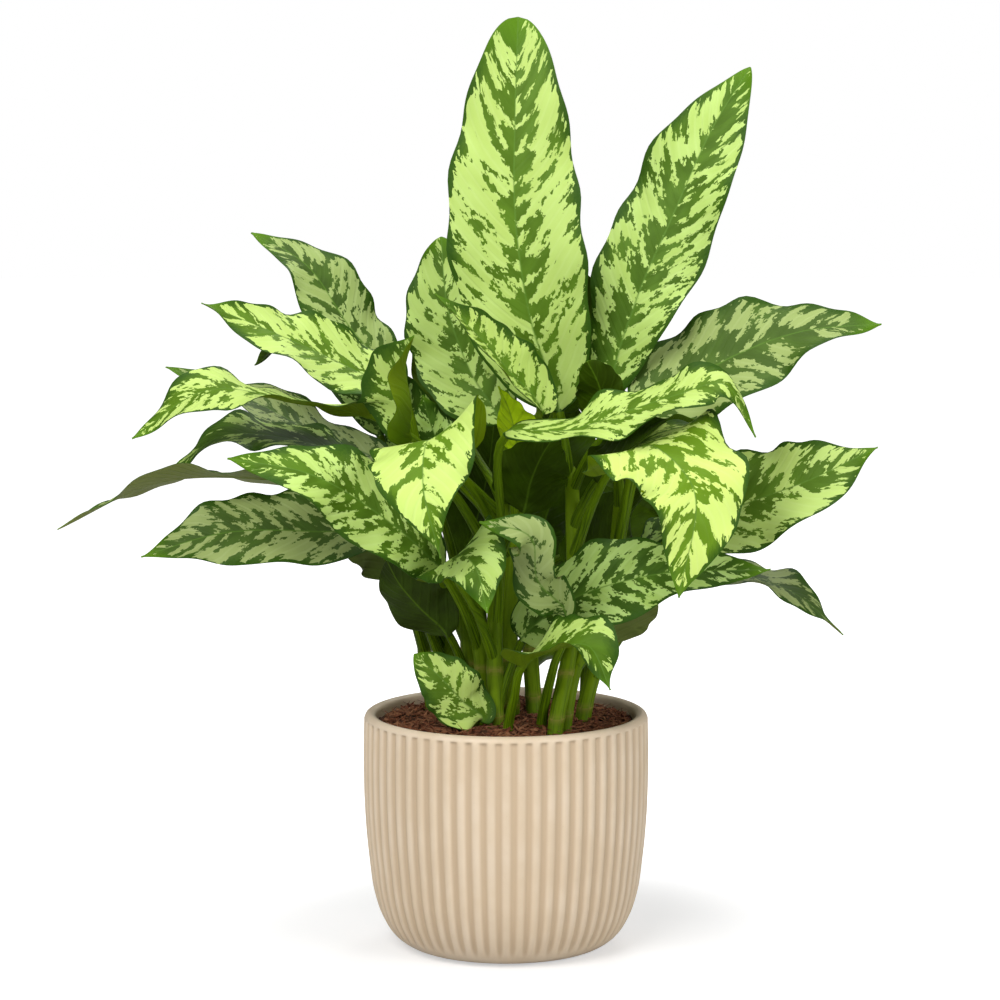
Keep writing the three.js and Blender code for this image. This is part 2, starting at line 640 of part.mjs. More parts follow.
// One ring across the leaf: the upper face from left to right, then the lower face back.
function leafRing(centre, side, up, sections) {
  const place = (across, lift) => {
    return centre.clone().addScaledVector(side, across).addScaledVector(up, lift);
  };
  const upper = sections.map((s) => place(s.across, s.lift + s.above));
  const lower = sections.map((s) => place(s.across, s.lift - s.below));
  return [...upper, ...lower.reverse()];
}

function leafFrame(leaf, spline, length, v) {
  const tangent = spline.tangentAt(length);
  const up = new THREE.Vector3(...leaf.face[0]).lerp(new THREE.Vector3(...leaf.face[1]), v);
  up.addScaledVector(tangent, -up.dot(tangent)).normalize();
  return { side: tangent.clone().cross(up), up };
}

function petioleSections(radius) {
  return ACROSS.map((u) => {
    const depth = radius * Math.sqrt(1 - PETIOLE_FLATNESS * u * u);
    return { across: u * radius, lift: 0, above: depth, below: depth };
  });
}

function bladeSections(leaf, phase, v) {
  const half = (leaf.width / 2) * bladeOutline(v, leaf);
  const rib = MIDRIB_DEPTH * (1 - v);
  const stalk = Math.max(0, 1 - v / STALK_FADE);
  const width = Math.max(half, PETIOLE_RADIUS * stalk, TIP_HALF_WIDTH);
  return ACROSS.map((u) => {
    const turn = 2 * Math.PI * leaf.waves * v + phase + (u > 0 ? HALF_PHASE : 0);
    const wave = leaf.wave * u * u * Math.sin(turn) * Math.sin(Math.PI * v) ** WAVE_RISE;
    const fold = leaf.fold * half * Math.abs(u) ** FOLD_CURVE;
    const middle = u === 0 ? 1 : 0;
    const thick = BLADE_THICKNESS / 2 + stalk * PETIOLE_RADIUS * 0.7 * (1 - 0.8 * u * u);
    return { across: u * width, lift: fold + wave, above: thick, below: thick + middle * rib };
  });
}

// A petiole that stands in the soil itself has a straight foot, and bends only above the surface.
function shootStations(leaf, baseLength) {
  const straight = leaf.soil[2] + SHOOT_BEND_RISE - SHOOT_FOOT_HEIGHT;
  return [0, straight / baseLength, ...SHOOT_STATIONS];
}

function leafGeometry(leaf, index) {
  const { spline, baseLength, endLength } = leafLine(leaf);
  const stations = leaf.soil ? shootStations(leaf, baseLength) : PETIOLE_STATIONS;
  const phase = leaf.phase ?? index * LEAF_PHASE;
  const rings = stations.map((s) => {
    const length = s * baseLength;
    const { side, up } = leafFrame(leaf, spline, length, 0);
    const radius = THREE.MathUtils.lerp(SHEATH_RADIUS, PETIOLE_RADIUS, Math.min(1, s / SHEATH_END));
    return leafRing(spline.at(length), side, up, petioleSections(radius));
  });
  for (const v of BLADE_STATIONS) {
    const length = THREE.MathUtils.lerp(baseLength, endLength, v);
    const { side, up } = leafFrame(leaf, spline, length, v);
    rings.push(leafRing(spline.at(length), side, up, bladeSections(leaf, phase, v)));
  }
  const size = rings[0].length;
  const cap = [];
  for (let i = 0; i + 1 < ACROSS.length; i++) {
    cap.push([i, i + 1, size - 2 - i], [i, size - 2 - i, size - 1 - i]);
  }
  return loft(rings, cap, (j) => j >= ACROSS.length);
}

// The plain hole that a petiole growing straight from the soil stands in.
function shootHole({ soil: [x, y, z] }) {
  const ends = [SHOOT_FOOT_HEIGHT - CLEARANCE, z + SOIL_HOLE_RISE];
  const rings = ends.map((end) =>
    circle(SHEATH_RADIUS + 2 * CLEARANCE, new THREE.Vector3(x, y, end), SHOOT_HOLE_SIDES),
  );
  return solidOf(loft(rings, fanCap(SHOOT_HOLE_SIDES)));
}

// ---- The plant ----

function named(name, geometry, colour) {
  const material = new THREE.MeshStandardMaterial({ ...colour, metalness: 0 });
  const mesh = new THREE.Mesh(geometry, material);
  mesh.name = name;
  return mesh;
}

const plant = new THREE.Group();
plant.add(named("pot", potGeometry(), COLOURS.pot));

const holes = {};
for (const [name, cane] of Object.entries(CANES)) {
  plant.add(named(`cane_${name}`, geometryOfSolid(caneSolid(cane)), COLOURS.cane));
  holes[name] = caneSolid(cane, CLEARANCE);
}

LEAVES.forEach((leaf, index) => {
  let solid = solidOf(leafGeometry(leaf, index));
  if (leaf.cane) solid = largestPiece(solid.subtract(holes[leaf.cane]));
  else holes[leaf.name] = shootHole(leaf);
  plant.add(named(`leaf_${leaf.name}`, geometryOfSolid(solid), COLOURS.leaf));
});

plant.add(named("soil", geometryOfSolid(soilSolid(Object.values(holes))), COLOURS.soil));

export default plant;
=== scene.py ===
import math

import bpy
import numpy as np
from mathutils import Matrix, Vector


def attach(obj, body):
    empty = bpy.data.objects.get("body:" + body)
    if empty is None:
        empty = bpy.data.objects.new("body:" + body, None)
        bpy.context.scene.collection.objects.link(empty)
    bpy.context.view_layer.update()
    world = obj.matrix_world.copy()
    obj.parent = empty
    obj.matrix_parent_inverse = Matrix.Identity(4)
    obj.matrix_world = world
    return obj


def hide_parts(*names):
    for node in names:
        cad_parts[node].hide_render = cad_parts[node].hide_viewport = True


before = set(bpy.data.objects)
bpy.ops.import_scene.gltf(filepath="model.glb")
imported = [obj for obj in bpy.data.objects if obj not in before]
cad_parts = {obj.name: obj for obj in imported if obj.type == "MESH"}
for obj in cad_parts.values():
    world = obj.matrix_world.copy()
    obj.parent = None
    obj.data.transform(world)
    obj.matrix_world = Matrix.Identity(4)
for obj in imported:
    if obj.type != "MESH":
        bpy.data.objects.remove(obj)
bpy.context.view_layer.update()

MM = 0.001
ROOT = "root"
WHOLE_TURN = 2 * np.pi

# ---- Pot ----
RIB_COUNT = 60
RIB_DEPTH = 1.8
RIB_ROUNDNESS = 1.3  # the power that makes a groove narrower than a crest
RIB_TURN = 0.5  # share of a pitch that the ribs are turned by, so that a crest faces the front
POINTS_A_RIB = 12
POT_FOOT = (56, 0)  # radius and height, as of every point of the outline
POT_OUTSIDE = [(67, 2.5), (75, 8), (83, 20), (88.3, 36), (92, 61), (95, 150), (94.9, 153.5)]
POT_LIP = [(93.6, 156.4), (91.2, 157.8), (87.8, 156.8)]
POT_INSIDE = [(86.3, 150), (83.5, 61), (56, 10)]
POT_RINGS = 72
LIP_RINGS = 22
GROOVE_TOP = 155.4  # where the grooves end, each in a small arch
GROOVE_ARCH = 1.8
GROOVE_FADE = (0.6, -1.2)  # above and below that end, where a groove has its least and its full depth
GROOVE_BOTTOM = (3.0, 16.0)  # the grooves run out between these heights

# ---- Soil ----
CLEARANCE = 0.35  # between the soil and the pot
SOIL_EDGE_HEIGHT = 150
SOIL_MOUND = 4
SOIL_LUMP = 1.3
LUMP_SIZE = (6, 7)
SWELL_SIZE = (11, 9)  # of the longer waves under the lumps
SWELL = 0.6  # their height as a share of the lumps'
SOIL_RINGS = 44
SOIL_SIDES = 150
CRUMB_HEIGHT = 1.1
CRUMB_WAVES = 9
CRUMB_PITCH = (3, 9)
SOIL_SEED = 7
CHIP_COUNT = 1500
FIBRE_COUNT = 750
CHIP_SPANS = ((4, 11), (1.2, 3.2), (0.6, 1.2), (-0.3, 0.3))  # length, width, thickness and curl
FIBRE_SPANS = ((8, 20), (0.4, 0.8), (0.35, 0.6), (-0.9, 0.9))
CHIP_RINGS = 5
CHIP_TAPER = 0.75  # how much narrower its ends are
CHIP_RISE = 0.3  # how far a curl also lifts, as a share of how far it bends sideways
CHIP_TILT = 0.36  # radians, as a standard deviation
CHIP_REACH = 83
CHIP_LIMIT = 85  # chips that would reach further than this are left out
CHIP_LIFT = (0.3, 2.6)

# ---- Canes ----
CANE_FOOT_HEIGHT = 112
CANE_SIDES = 28
CANE_STEP = 2.2
CANE_OVAL = 0.02  # how far from round a cane is
CANE_TWIST = 9  # height in which the oval turns by one radian
CANE_YOUTH = (150, 330)  # heights between which a cane turns from old to young
BUD_LENGTH = 7
BUD_RADIUS = 1.2
BUD_CURVE = 1.5
BUD_SHARES = (0.25, 0.5, 0.75, 1)
SCAR_TOP = 214
SCAR_PITCH = 30
SCAR_BULGE = 1.08  # times the radius of the cane
SCAR_HEIGHT = 4.4
SCAR_SPREAD = 0.42  # of the height
FIRST_SCAR = 6
CANES = {  # radius at the foot and at the top, and the line from the soil up
    "centre": ((6, 4.6), [(-7, -34, 152), (-7, -20, 234), (0, -4, 322)]),
    "right": ((5.6, 4.6), [(32, -52, 152), (42, -30, 205), (44, 6, 322)]),
    "far_right": ((5.8, 4.6), [(51, -12, 152), (67, 14, 212), (78, 34, 300)]),
    "left": ((6, 4.6), [(-37, 14, 152), (-42, 20, 215), (-50, 24, 296)]),
    "far_left": ((5, 4.4), [(-50, 30, 152), (-62, 44, 230)]),
    "back": ((6.8, 4.6), [(3, 0, 152), (3, 30, 232), (12, 50, 316)]),
    "back_right": ((6, 4.6), [(19, 10, 152), (17, 40, 205), (28, 74, 258)]),
    "back_left": ((6.5, 4.6), [(-22, 58, 152), (-34, 78, 250)]),
    "inner": ((4.2, 4), [(39, -40, 152), (48, -26, 198), (54, -18, 214)]),
    "left_inner": ((4.4, 4.2), [(-22, -4, 152), (-29, 6, 240)]),
    "stub": ((3.6, 6.6), [(-13, -16, 152), (-20, -17, 236)]),
}

# ---- Petioles ----
PETIOLE_RADIUS = 2.8
PETIOLE_EDGE = 0.06  # the least half thickness at a petiole's sides, as a share of its radius
SHEATH_RADIUS = 4.1
SHEATH_END = 0.66  # share of the petiole's length
SHOOT_FOOT_HEIGHT = 128
BEND = (0.45, 0.45, 0.54)  # where a petiole's bend lies between its root and the blade
PETIOLE_END = 0.985
PETIOLE_RINGS = 16
PETIOLE_YOUTH = (0.2, 1.0)  # shares of its length between which a petiole turns from old to young, as far as its leaf is painted lit

# ---- Blades ----
BLADE_THICKNESS = 0.8
MARGIN_THICKNESS = 0.3
MIDRIB_DEPTH = 1.1
MIDRIB_WIDTH = 1.7
MIDRIB_CHANNEL = 0.35
TIP_HALF_WIDTH = 0.7
OUTLINE_FULLNESS = 0.62
STALK_FADE = 0.1  # share of the blade in which the petiole flattens out
STALK_FLATNESS = 0.7
STALK_ROUNDNESS = 0.8
FOLD_CURVE = 1.3
WAVE_RISE = 0.6
HALF_PHASE = 2  # between the waves of a blade's two halves
LEAF_PHASE = 2.4  # between the waves of a leaf and the next
RIPPLE = 1.5  # the smaller ripples of a margin, on top of its waves
RIPPLES = 5.3
RIPPLE_WIDTH = 62  # the width of blade that has ripples of that height
RIPPLE_PHASE = 1.7
SCALLOP = 0.035  # how far the ripples swell the outline, as a share of the half width
BLADE_RINGS = 66
BLADE_COLUMNS = 25
COLUMN_SPREAD = 1.5  # more than 1 sets the columns closer by the midrib
BLADE_CROWDING = 0.6  # how much closer the rings are at the blade's base and tip
SHARP_ANGLE = 55
UPPER_SLOT, UNDER_SLOT, PETIOLE_SLOT = 0, 1, 2
PATTERN_WIDTH = 90  # narrower blades than this have a finer pattern
PATTERN_STEP = 3.7  # sets the patterns of two leaves apart
STREAK_STEP = 40  # and the streaks of two petioles

# A leaf grows from its cane at height root, or from the soil. Its midrib runs from the blade's base to its
# tip, and face is the way that the upper side looks at each end. The halves rise from the midrib by the
# fold, and their margins wave that high and that often. A smaller belly sets the widest place nearer to the
# base, and a larger taper draws the tip out. The look says how pale and grey the field is, which is partly
# the leaf's own tone and partly painted shade; how much more of it is dark; and how lit and yellow it is,
# which is partly the yellow of a young leaf and partly painted light.
LEAF_DEFAULTS = dict(fold=0.1, wave=4, waves=2.4, belly=0.8, taper=0.45, look=(0, 0.05, 0.1))
LEAVES = [
    dict(name="crown", cane="right", root=300, width=90, fold=0.2, taper=-0.15,
         midrib=[(36, 20, 357), (16, 14, 420), (6, 16, 488), (6, 26, 553), (8, 42, 618)],
         face=[(-0.2, -1, 0.1), (0, -1, 0.3)], look=(0.15, 0.02, 0.5)),
    dict(name="right_upright", cane="far_right", root=290, width=70, fold=0.15, wave=6, waves=2.6,
         belly=0.95, taper=0.1,
         midrib=[(70, 26, 364), (87, 28, 431), (111, 34, 486), (140, 46, 548), (164, 60, 585)],
         face=[(-0.3, -1, 0.2), (-0.3, -1, 0.5)], look=(0.1, 0.065, 0.35)),
    dict(name="left_upright", cane="back", root=280, width=66, fold=0.2, wave=3, taper=0,
         midrib=[(-3, 42, 346), (-24, 52, 381), (-39, 60, 422), (-44, 72, 471)],
         face=[(-0.3, -1, 0.3), (-0.2, -1, 0.4)], look=(0.15, 0.02, 0.4)),
    dict(name="young", cane="centre", root=312, width=36, fold=0.7, wave=2, belly=0.62,
         midrib=[(22, -16, 359), (1, -34, 389), (-22, -46, 416), (-46, -52, 440)],
         face=[(0.4, -0.8, 0.7), (0.3, -0.8, 0.7)], look=(0.1, 0.03, 0.8)),
    dict(name="upper_left_far", cane="left", root=247, width=54, fold=0.15, wave=3, belly=0.9,
         midrib=[(-71, 55, 367), (-107, 68, 411), (-138, 80, 453), (-174, 88, 473)],
         face=[(0.1, -0.45, 0.9), (0, -0.5, 0.8)], look=(0.7, 0.03, 0.1)),
    dict(name="upper_left", cane="left", root=288, width=66, fold=0.12, belly=0.7,
         midrib=[(-70, 14, 368), (-104, 10, 387), (-149, 0, 409), (-200, -8, 431)],
         face=[(0, -0.5, 0.85), (-0.3, -0.5, 0.8)], look=(0.1, 0.02, 0.6)),
    dict(name="left_arch", cane="centre", root=290, width=62, fold=0.05, wave=5,
         midrib=[(-90, -30, 360), (-135, -45, 369), (-191, -55, 378), (-241, -60, 347)],
         face=[(-0.1, 0.3, 0.9), (-0.3, -0.7, 0.7)], look=(0.1, 0.01, 0.6)),
    dict(name="left_pale", cane="left", root=208, width=58,
         midrib=[(-78, 23, 318), (-125, 38, 339), (-179, 47, 365), (-230, 52, 384)],
         face=[(0, -0.2, 1), (-0.1, -0.3, 1)], look=(0.9, 0.02, 0)),
    dict(name="left_back", cane="far_left", root=222, width=44,
         midrib=[(-86, 72, 336), (-116, 108, 388), (-148, 140, 400), (-178, 166, 376)],
         face=[(-0.3, -0.1, 1), (-0.3, 0.3, 1)]),
    dict(name="left_shade", cane="left_inner", root=226, width=60,
         midrib=[(-98, -8, 326), (-144, -12, 342), (-187, -18, 344), (-220, -22, 321)],
         face=[(0, -0.2, 1), (-0.3, -0.3, 1)], look=(0.2, 0.1, 0.3)),
    dict(name="left_edge_on", cane="left", root=196, width=56,
         midrib=[(-105, -16, 306), (-165, -20, 317), (-226, -24, 315), (-294, -30, 284)],
         face=[(0, 0.3, 1), (0, 0.2, 1)], look=(1, 0, 0)),
    dict(name="left_low", cane="left", root=176, width=66, fold=0.08, wave=3,
         midrib=[(-84, -28, 278), (-128, -40, 284), (-183, -48, 284), (-237, -52, 269)],
         face=[(0, -0.6, 0.8), (-0.2, -0.7, 0.7)], look=(0.95, 0.06, 0)),
    dict(name="front_left", cane="stub", root=200, width=60,
         midrib=[(-42, -46, 258), (-78, -76, 297), (-125, -95, 328), (-176, -105, 339)],
         face=[(0.3, -0.8, 0.5), (-0.1, -0.7, 0.7)], look=(0.05, 0.05, 0.4)),
    dict(name="front_drooping", cane="centre", root=276, width=78, fold=0.22, wave=11, waves=1.6,
         phase=4.84, belly=0.62, taper=0.8,
         midrib=[(-35, -54, 330), (-50, -96, 349), (-52, -126, 324), (-41, -138, 280)],
         face=[(-0.4, 0, 0.9), (-0.1, -1, 0.2)], look=(0, 0.01, 0.75)),
    dict(name="left_folded", cane="centre", root=256, width=42, fold=1.2, wave=2,
         midrib=[(-63, -46, 344), (-62, -55, 369), (-65, -60, 394), (-59, -66, 414)],
         face=[(-0.85, -0.5, 0.2), (-0.7, -0.6, 0.6)], look=(0.1, 0.05, 0.6)),
    dict(name="right_wavy", cane="centre", root=218, width=58, fold=0.05, wave=5, waves=2.9, phase=1.48,
         belly=0.6,
         midrib=[(1, -54, 349), (42, -62, 353), (79, -68, 366), (111, -74, 377), (137, -78, 384),
                 (159, -82, 350)],
         face=[(-0.05, -0.15, 1), (0.4, -0.6, 0.6)], look=(0.1, 0.03, 0.6)),
    dict(name="right_broad", cane="far_right", root=250, width=82, wave=5, belly=0.62,
         midrib=[(93, 12, 354), (142, 10, 390), (194, 5, 411), (247, -5, 417)],
         face=[(-0.2, -0.75, 0.65), (0.1, -0.6, 0.8)], look=(0.8, 0.09, 0.25)),
    dict(name="right_mid", cane="far_right", root=220, width=74, wave=5,
         midrib=[(110, 5, 273), (155, -10, 297), (200, -22, 316), (243, -28, 338)],
         face=[(-0.1, -0.8, 0.6), (0.1, -0.7, 0.7)], look=(0.2, 0, 0.5)),
    dict(name="right_drooping", cane="right", root=264, width=88, wave=5, waves=4.2, phase=5.2,
         belly=0.6, taper=0.3,
         midrib=[(69, -48, 327), (93, -88, 345), (117, -118, 322), (108, -130, 254)],
         face=[(0.2, -0.6, 0.8), (0.35, -1, 0.2)], look=(0, -0.01, 1)),
    dict(name="right_low", cane="centre", root=160, width=66, wave=5, belly=0.62,
         midrib=[(11, -22, 209), (39, -36, 236), (87, -56, 256), (170, -74, 264)],
         face=[(-0.3, -0.7, 0.6), (0.1, -0.7, 0.7)], look=(0.15, 0.03, 0.1)),
    dict(name="right_tip", cane="far_right", root=176, width=56,
         midrib=[(104, 18, 236), (150, 4, 250), (190, -8, 239), (223, -18, 212)],
         face=[(0.1, -0.25, 0.95), (0.4, -0.2, 0.9)], look=(0.95, 0.04, 0)),
    dict(name="twisted", soil=(23, -40, 152), width=36, fold=0.15, waves=1.8,
         midrib=[(40, -73, 234), (20, -86, 259), (16, -96, 287), (-17, -108, 299)],
         face=[(-0.6, -0.8, 0.2), (-0.2, -0.9, 0.5)], look=(0.95, -0.1, 0)),
    dict(name="small_front", cane="centre", root=196, width=60, fold=0.12, wave=6, waves=1.4,
         phase=4.84, belly=0.6,
         midrib=[(-33, -58, 259), (-30, -84, 275), (-19, -108, 269), (-12, -116, 242)],
         face=[(-0.36, -0.35, 0.87), (0.1, -0.95, 0.3)], look=(0.15, 0.04, 0.35)),
    dict(name="offshoot_right", soil=(1, -48, 152), width=52, fold=0.48, waves=2, belly=0.58,
         midrib=[(11, -80, 203), (29, -96, 215), (51, -108, 220), (66, -112, 192)],
         face=[(-0.1, -0.05, 0.95), (0.3, -0.75, 0.65)], look=(0.05, 0.08, 0.5)),
    dict(name="offshoot_left", soil=(-19, -32, 152), width=40, fold=0.15, wave=2, waves=1.8, taper=0.1,
         midrib=[(-15, -38, 159), (-28, -44, 172), (-43, -48, 189), (-60, -52, 205)],
         face=[(-0.3, -0.8, 0.5), (-0.3, -0.8, 0.5)], look=(0.1, 0, 0.6)),
    dict(name="low_underside", cane="left_inner", root=170, width=46, fold=0.2, wave=3, taper=0.1,
         midrib=[(-38, -16, 212), (-57, -24, 232), (-71, -30, 250), (-78, -33, 264)],
         face=[(0.3, 0.9, 0.3), (0.3, 0.9, 0.3)], look=(0.1, 0, 0)),
    dict(name="low_left", cane="far_left", root=190, width=48,
         midrib=[(-74, 20, 245), (-87, 28, 264), (-103, 38, 275), (-124, 50, 279)],
         face=[(0.2, 0.9, 0.3), (0.1, 0.9, 0.3)], look=(0.3, 0.05, 0)),
    dict(name="right_underside", cane="inner", root=190, width=54, fold=0.2, wave=3, taper=0.1,
         midrib=[(65, -10, 209), (74, -13, 223), (83, -12, 239), (92, -10, 257)],
         face=[(-0.2, 0.9, 0.3), (-0.2, 0.9, 0.3)], look=(0.5, 0, 0)),
    dict(name="centre_underside", cane="right", root=282, width=76, fold=0.15,
         midrib=[(60, -18, 315), (72, -20, 325), (92, -22, 338), (125, -26, 356)],
         face=[(-0.3, 0.5, 0.8), (0, 0.5, 0.85)]),
    dict(name="back_crown", cane="back", root=298, width=74, fold=0.15, wave=5,
         midrib=[(34, 76, 352), (38, 100, 400), (34, 132, 442), (28, 172, 470)],
         face=[(0.2, 0.8, 0.6), (0.2, 0.6, 0.8)]),
    dict(name="back_right_high", cane="far_right", root=244, width=68, wave=5,
         midrib=[(98, 60, 346), (137, 92, 380), (173, 118, 398), (208, 142, 394)],
         face=[(0.1, 0.3, 1), (0.4, 0.4, 0.8)]),
    dict(name="back_right_mid", cane="far_right", root=186, width=64,
         midrib=[(98, 68, 258), (134, 98, 284), (168, 126, 296), (196, 150, 284)],
         face=[(0.1, 0.3, 1), (0.4, 0.4, 0.8)]),
    dict(name="back_right_low", cane="far_right", root=162, width=72, wave=5,
         midrib=[(55, 58, 226), (66, 64, 251), (80, 74, 277), (101, 90, 298)],
         face=[(-0.1, 0.7, 0.7), (0.2, 0.6, 0.8)]),
    dict(name="back_low", cane="back_right", root=218, width=68, wave=5,
         midrib=[(24, 74, 267), (33, 98, 297), (36, 122, 327), (38, 144, 364)],
         face=[(0, 0.8, 0.6), (0.1, 0.7, 0.8)]),
    dict(name="back_arch", cane="back_right", root=244, width=72, wave=5,
         midrib=[(75, 108, 259), (87, 138, 285), (93, 164, 318), (99, 184, 348)],
         face=[(0.1, 0.8, 0.6), (0.2, 0.7, 0.7)]),
    dict(name="back_left_high", cane="back_left", root=212, width=84, wave=5,
         midrib=[(-30, 98, 242), (-21, 124, 271), (-12, 150, 307), (-7, 176, 352)],
         face=[(0, 0.8, 0.6), (-0.1, 0.7, 0.7)]),
    dict(name="inner_left", cane="back", root=256, width=36,
         midrib=[(-37, 37, 314), (-46, 39, 334), (-52, 40, 350), (-56, 40, 366)],
         face=[(0.3, -0.8, 0.5), (0.2, -0.7, 0.6)]),
    dict(name="back_hanging", cane="back_right", root=180, width=72, taper=0.1,
         midrib=[(35, 90, 185), (39, 108, 212), (42, 130, 240), (46, 154, 271)],
         face=[(0, 0.8, 0.6), (0.1, 0.7, 0.7)]),
    dict(name="back_left_low", cane="back_left", root=190, width=70, wave=5,
         midrib=[(-64, 96, 256), (-96, 118, 278), (-130, 140, 280), (-166, 158, 258)],
         face=[(0, 0.1, 1), (-0.4, 0.5, 0.8)]),
    dict(name="back_left_mid", cane="back_left", root=224, width=50,
         midrib=[(-49, 58, 297), (-58, 62, 327), (-68, 68, 355), (-78, 78, 383)],
         face=[(0.2, -0.7, 0.6), (0.2, -0.6, 0.7)]),
    dict(name="back_upright", cane="back", root=270, width=62, fold=0.15,
         midrib=[(-26, 98, 330), (-34, 116, 380), (-40, 134, 424), (-44, 160, 456)],
         face=[(-0.2, 0.7, 0.5), (0, 0.6, 0.7)]),
    dict(name="unrolling", cane="centre", root=298, width=33, fold=0.3, wave=1.5, waves=1.8, belly=0.5,
         taper=0.9,
         midrib=[(8, -25, 333), (6, -28, 349), (2, -32, 364), (-5, -38, 379)],
         face=[(0.5, 0.8, 0.3), (0.5, 0.8, 0.3)], look=(0, 0, 2)),
    dict(name="curled", cane="right", root=306, width=32, fold=0.35, wave=1.5, waves=1.8, taper=-0.1,
         midrib=[(67, -2, 348), (64, -10, 365), (60, -18, 380), (53, -24, 394)],
         face=[(0, 1, 0.1), (-0.2, 1, 0.3)], look=(0, 0, 0.1)),
    dict(name="front_underside", cane="centre", root=262, width=50, fold=0.15, wave=3, belly=0.7, taper=0,
         midrib=[(11, -14, 294), (16, -24, 315), (23, -34, 333), (31, -42, 347)],
         face=[(-0.1, 0.9, 0.3), (-0.1, 0.9, 0.4)]),
]

# ---- Colours ----


def srgb(red, green, blue):
    """A colour as the eye names it, 0 to 255, in the linear numbers that a shader takes."""
    shares = [c / 255 for c in (red, green, blue)]
    linear = [c / 12.92 if c <= 0.04045 else ((c + 0.055) / 1.055) ** 2.4 for c in shares]
    return (*linear, 1)


LIME = srgb(178, 212, 120)
LIME_DEEP = srgb(158, 192, 92)
LIME_LIT = srgb(204, 228, 118)
LIME_GREY_AND_SHADE = srgb(150, 166, 100)
VEIN_PALE = srgb(220, 236, 176)
PATCH_GREEN = srgb(74, 110, 28)
PATCH_LIT = srgb(122, 162, 26)
PATCH_DEEP = srgb(46, 78, 8)
PATCH_GREY_AND_SHADE = srgb(76, 96, 46)
RIM_GREEN = srgb(48, 82, 12)
TIP_GREEN = srgb(88, 130, 16)
MIDRIB_GREEN = srgb(92, 130, 44)
UNDER_GREEN = srgb(46, 72, 4)
UNDER_DEEP = srgb(28, 48, 2)
UNDER_LIT = srgb(150, 180, 16)
UNDER_PALE = srgb(120, 130, 68)
UNDER_VEIN = srgb(66, 92, 18)
UNDER_RIB = srgb(86, 116, 26)
PETIOLE_YOUNG_AND_LIT = srgb(104, 134, 10)
PETIOLE_OLD = srgb(44, 70, 3)
CANE_YOUNG = srgb(110, 138, 16)
CANE_OLD = srgb(62, 90, 6)
CANE_SCAR = srgb(134, 128, 58)
GLAZE_PALE = srgb(228, 209, 183)
GLAZE_WARM = srgb(221, 200, 171)
GLAZE_POOLED_AND_SHADE = srgb(203, 180, 150)
GLAZE_SPECK = srgb(160, 132, 100)
SOIL_DARK = srgb(46, 26, 16)
SOIL_BROWN = srgb(84, 50, 32)
COIR_DARK = srgb(64, 34, 20)
COIR_BROWN = srgb(124, 70, 44)
COIR_TAN = srgb(168, 120, 84)
FLOOR_WHITE = srgb(205, 205, 205)
LIGHT_WHITE = (1, 1, 1, 1)

# ---- The pattern of the blades: sizes across the side veins and along them, and thresholds ----
VEIN_SWEEP = 1.0  # how far a side vein runs forward for each millimetre that it runs out
VEIN_TIP_SWEEP = 1.3  # and how much more at the tip
TIP_SWEEP_SPAN = (0.62, 1.0)
VEIN_CURL = 0.006
VEIN_PITCH = 9.0
VEIN_SPAN = (0.3, 1.0)  # of the vein wave, from the field to the crest of a vein
VEIN_LEVEL = 0.15
WOBBLE = 0.3  # how much noise breaks the veins up
WOBBLE_SCALE = 0.12
HALF_SEED = 5.3  # sets the patterns of a blade's two halves apart
MIDRIB_LINE = 1.5
MIDRIB_THINNING = -0.9
RAGGED_SIZE = (1.2, 1.4)
CELL_SIZE = (1.5, 2.6)  # of the small lobes that a patch is made of
CELL_ROUNDING = 0.3
CELL_RAGGED = 0.7  # how far noise pushes the edges of the lobes about
CELL_SPREAD = 97.0  # sets the lobes of two leaves apart
CELL_PULL = 0.8  # how far a whole lobe keeps to the shade of its middle
PATCH_SIZE = (6.4, 17)  # of a dark patch
PATCH_DETAIL = 0.5
CLUSTER_SIZE = (24, 36)  # of the stretches of blade that have more patches than others
DRIFT_SIZE = (14, 26)  # of the slow drift of both greens
CELL_CHANCE = 0.2  # how much each lobe's own chance counts
CLUSTER_CHANCE = 0.2
MIDRIB_DARK = 0.2
MIDRIB_REACH = 0.65  # as a share of the half width
MARGIN_REACH = 10.0
MARGIN_DARK = 0.12
TIP_DARK = 0.1
TIP_SPAN = (0.82, 1.0)
DARK_SPAN = (0.83, 0.85)
RIM_SIZE = (7, 1)
RIM_SPAN = (0.3, 0.75)
RIM_WIDTH = (0.5, 3.2)  # at least, and how much more where it is widest
LIME_SPAN = (0.3, 0.7)
PATCH_SPAN = (0.3, 0.65)

# ---- The other surfaces: reliefs in millimetres, spans of a noise, and shares of a tint ----
MIDRIB_TINT = 0.7
UPPER_VEIN_TINT = 0.07
UPPER_LIT_TINT = 0.55
UPPER_GREY_AND_SHADE_TINT = 0.6
UPPER_ROUGHNESS = (0.44, 0.16)  # at least, and how much more with the drift
UPPER_VEIN_RELIEF = -0.16
UPPER_RELIEF = 0.7
UNDER_VEIN_TINT = 0.12
UNDER_LIT_TINT = 0.5
UNDER_SPAN = (0.35, 0.65)
UNDER_SCALE = 0.05
UNDER_VEIN_RELIEF = 0.6
UNDER_RELIEF = 0.4
MOTTLE_SPAN = (0.3, 0.7)
MOTTLE_ROUGHNESS = 0.6
PETIOLE_ROUGHNESS = 0.42
CANE_ROUGHNESS = 0.5
STREAK = (0.012, 3.0)  # how fast the streaks change up the stalk and round it
STREAK_SCALE = 2.2
STEM_RELIEF = 0.5
SCAR_RELIEF = 0.5
SCAR_SPAN = (0.3, 0.6)
SCAR_GRAIN = 6.0
SCAR_GRAIN_SCALE = 0.5
GLAZE_ROUGHNESS = (0.34, 0.2)  # at least, and how much more with the mottle
GLAZE_SCALE = 28.0
CREST_SPAN = (0.15, 0.9)
SPECK_SCALE = 900.0
SPECK_SPAN = (0.7, 0.78)
SPECK_TINT = 0.12
PEEL_SCALE = 420.0
PEEL_RELIEF = 0.12
PEEL_STRENGTH = 0.5
SOIL_SCALE = 240.0
SOIL_RELIEF = 0.8
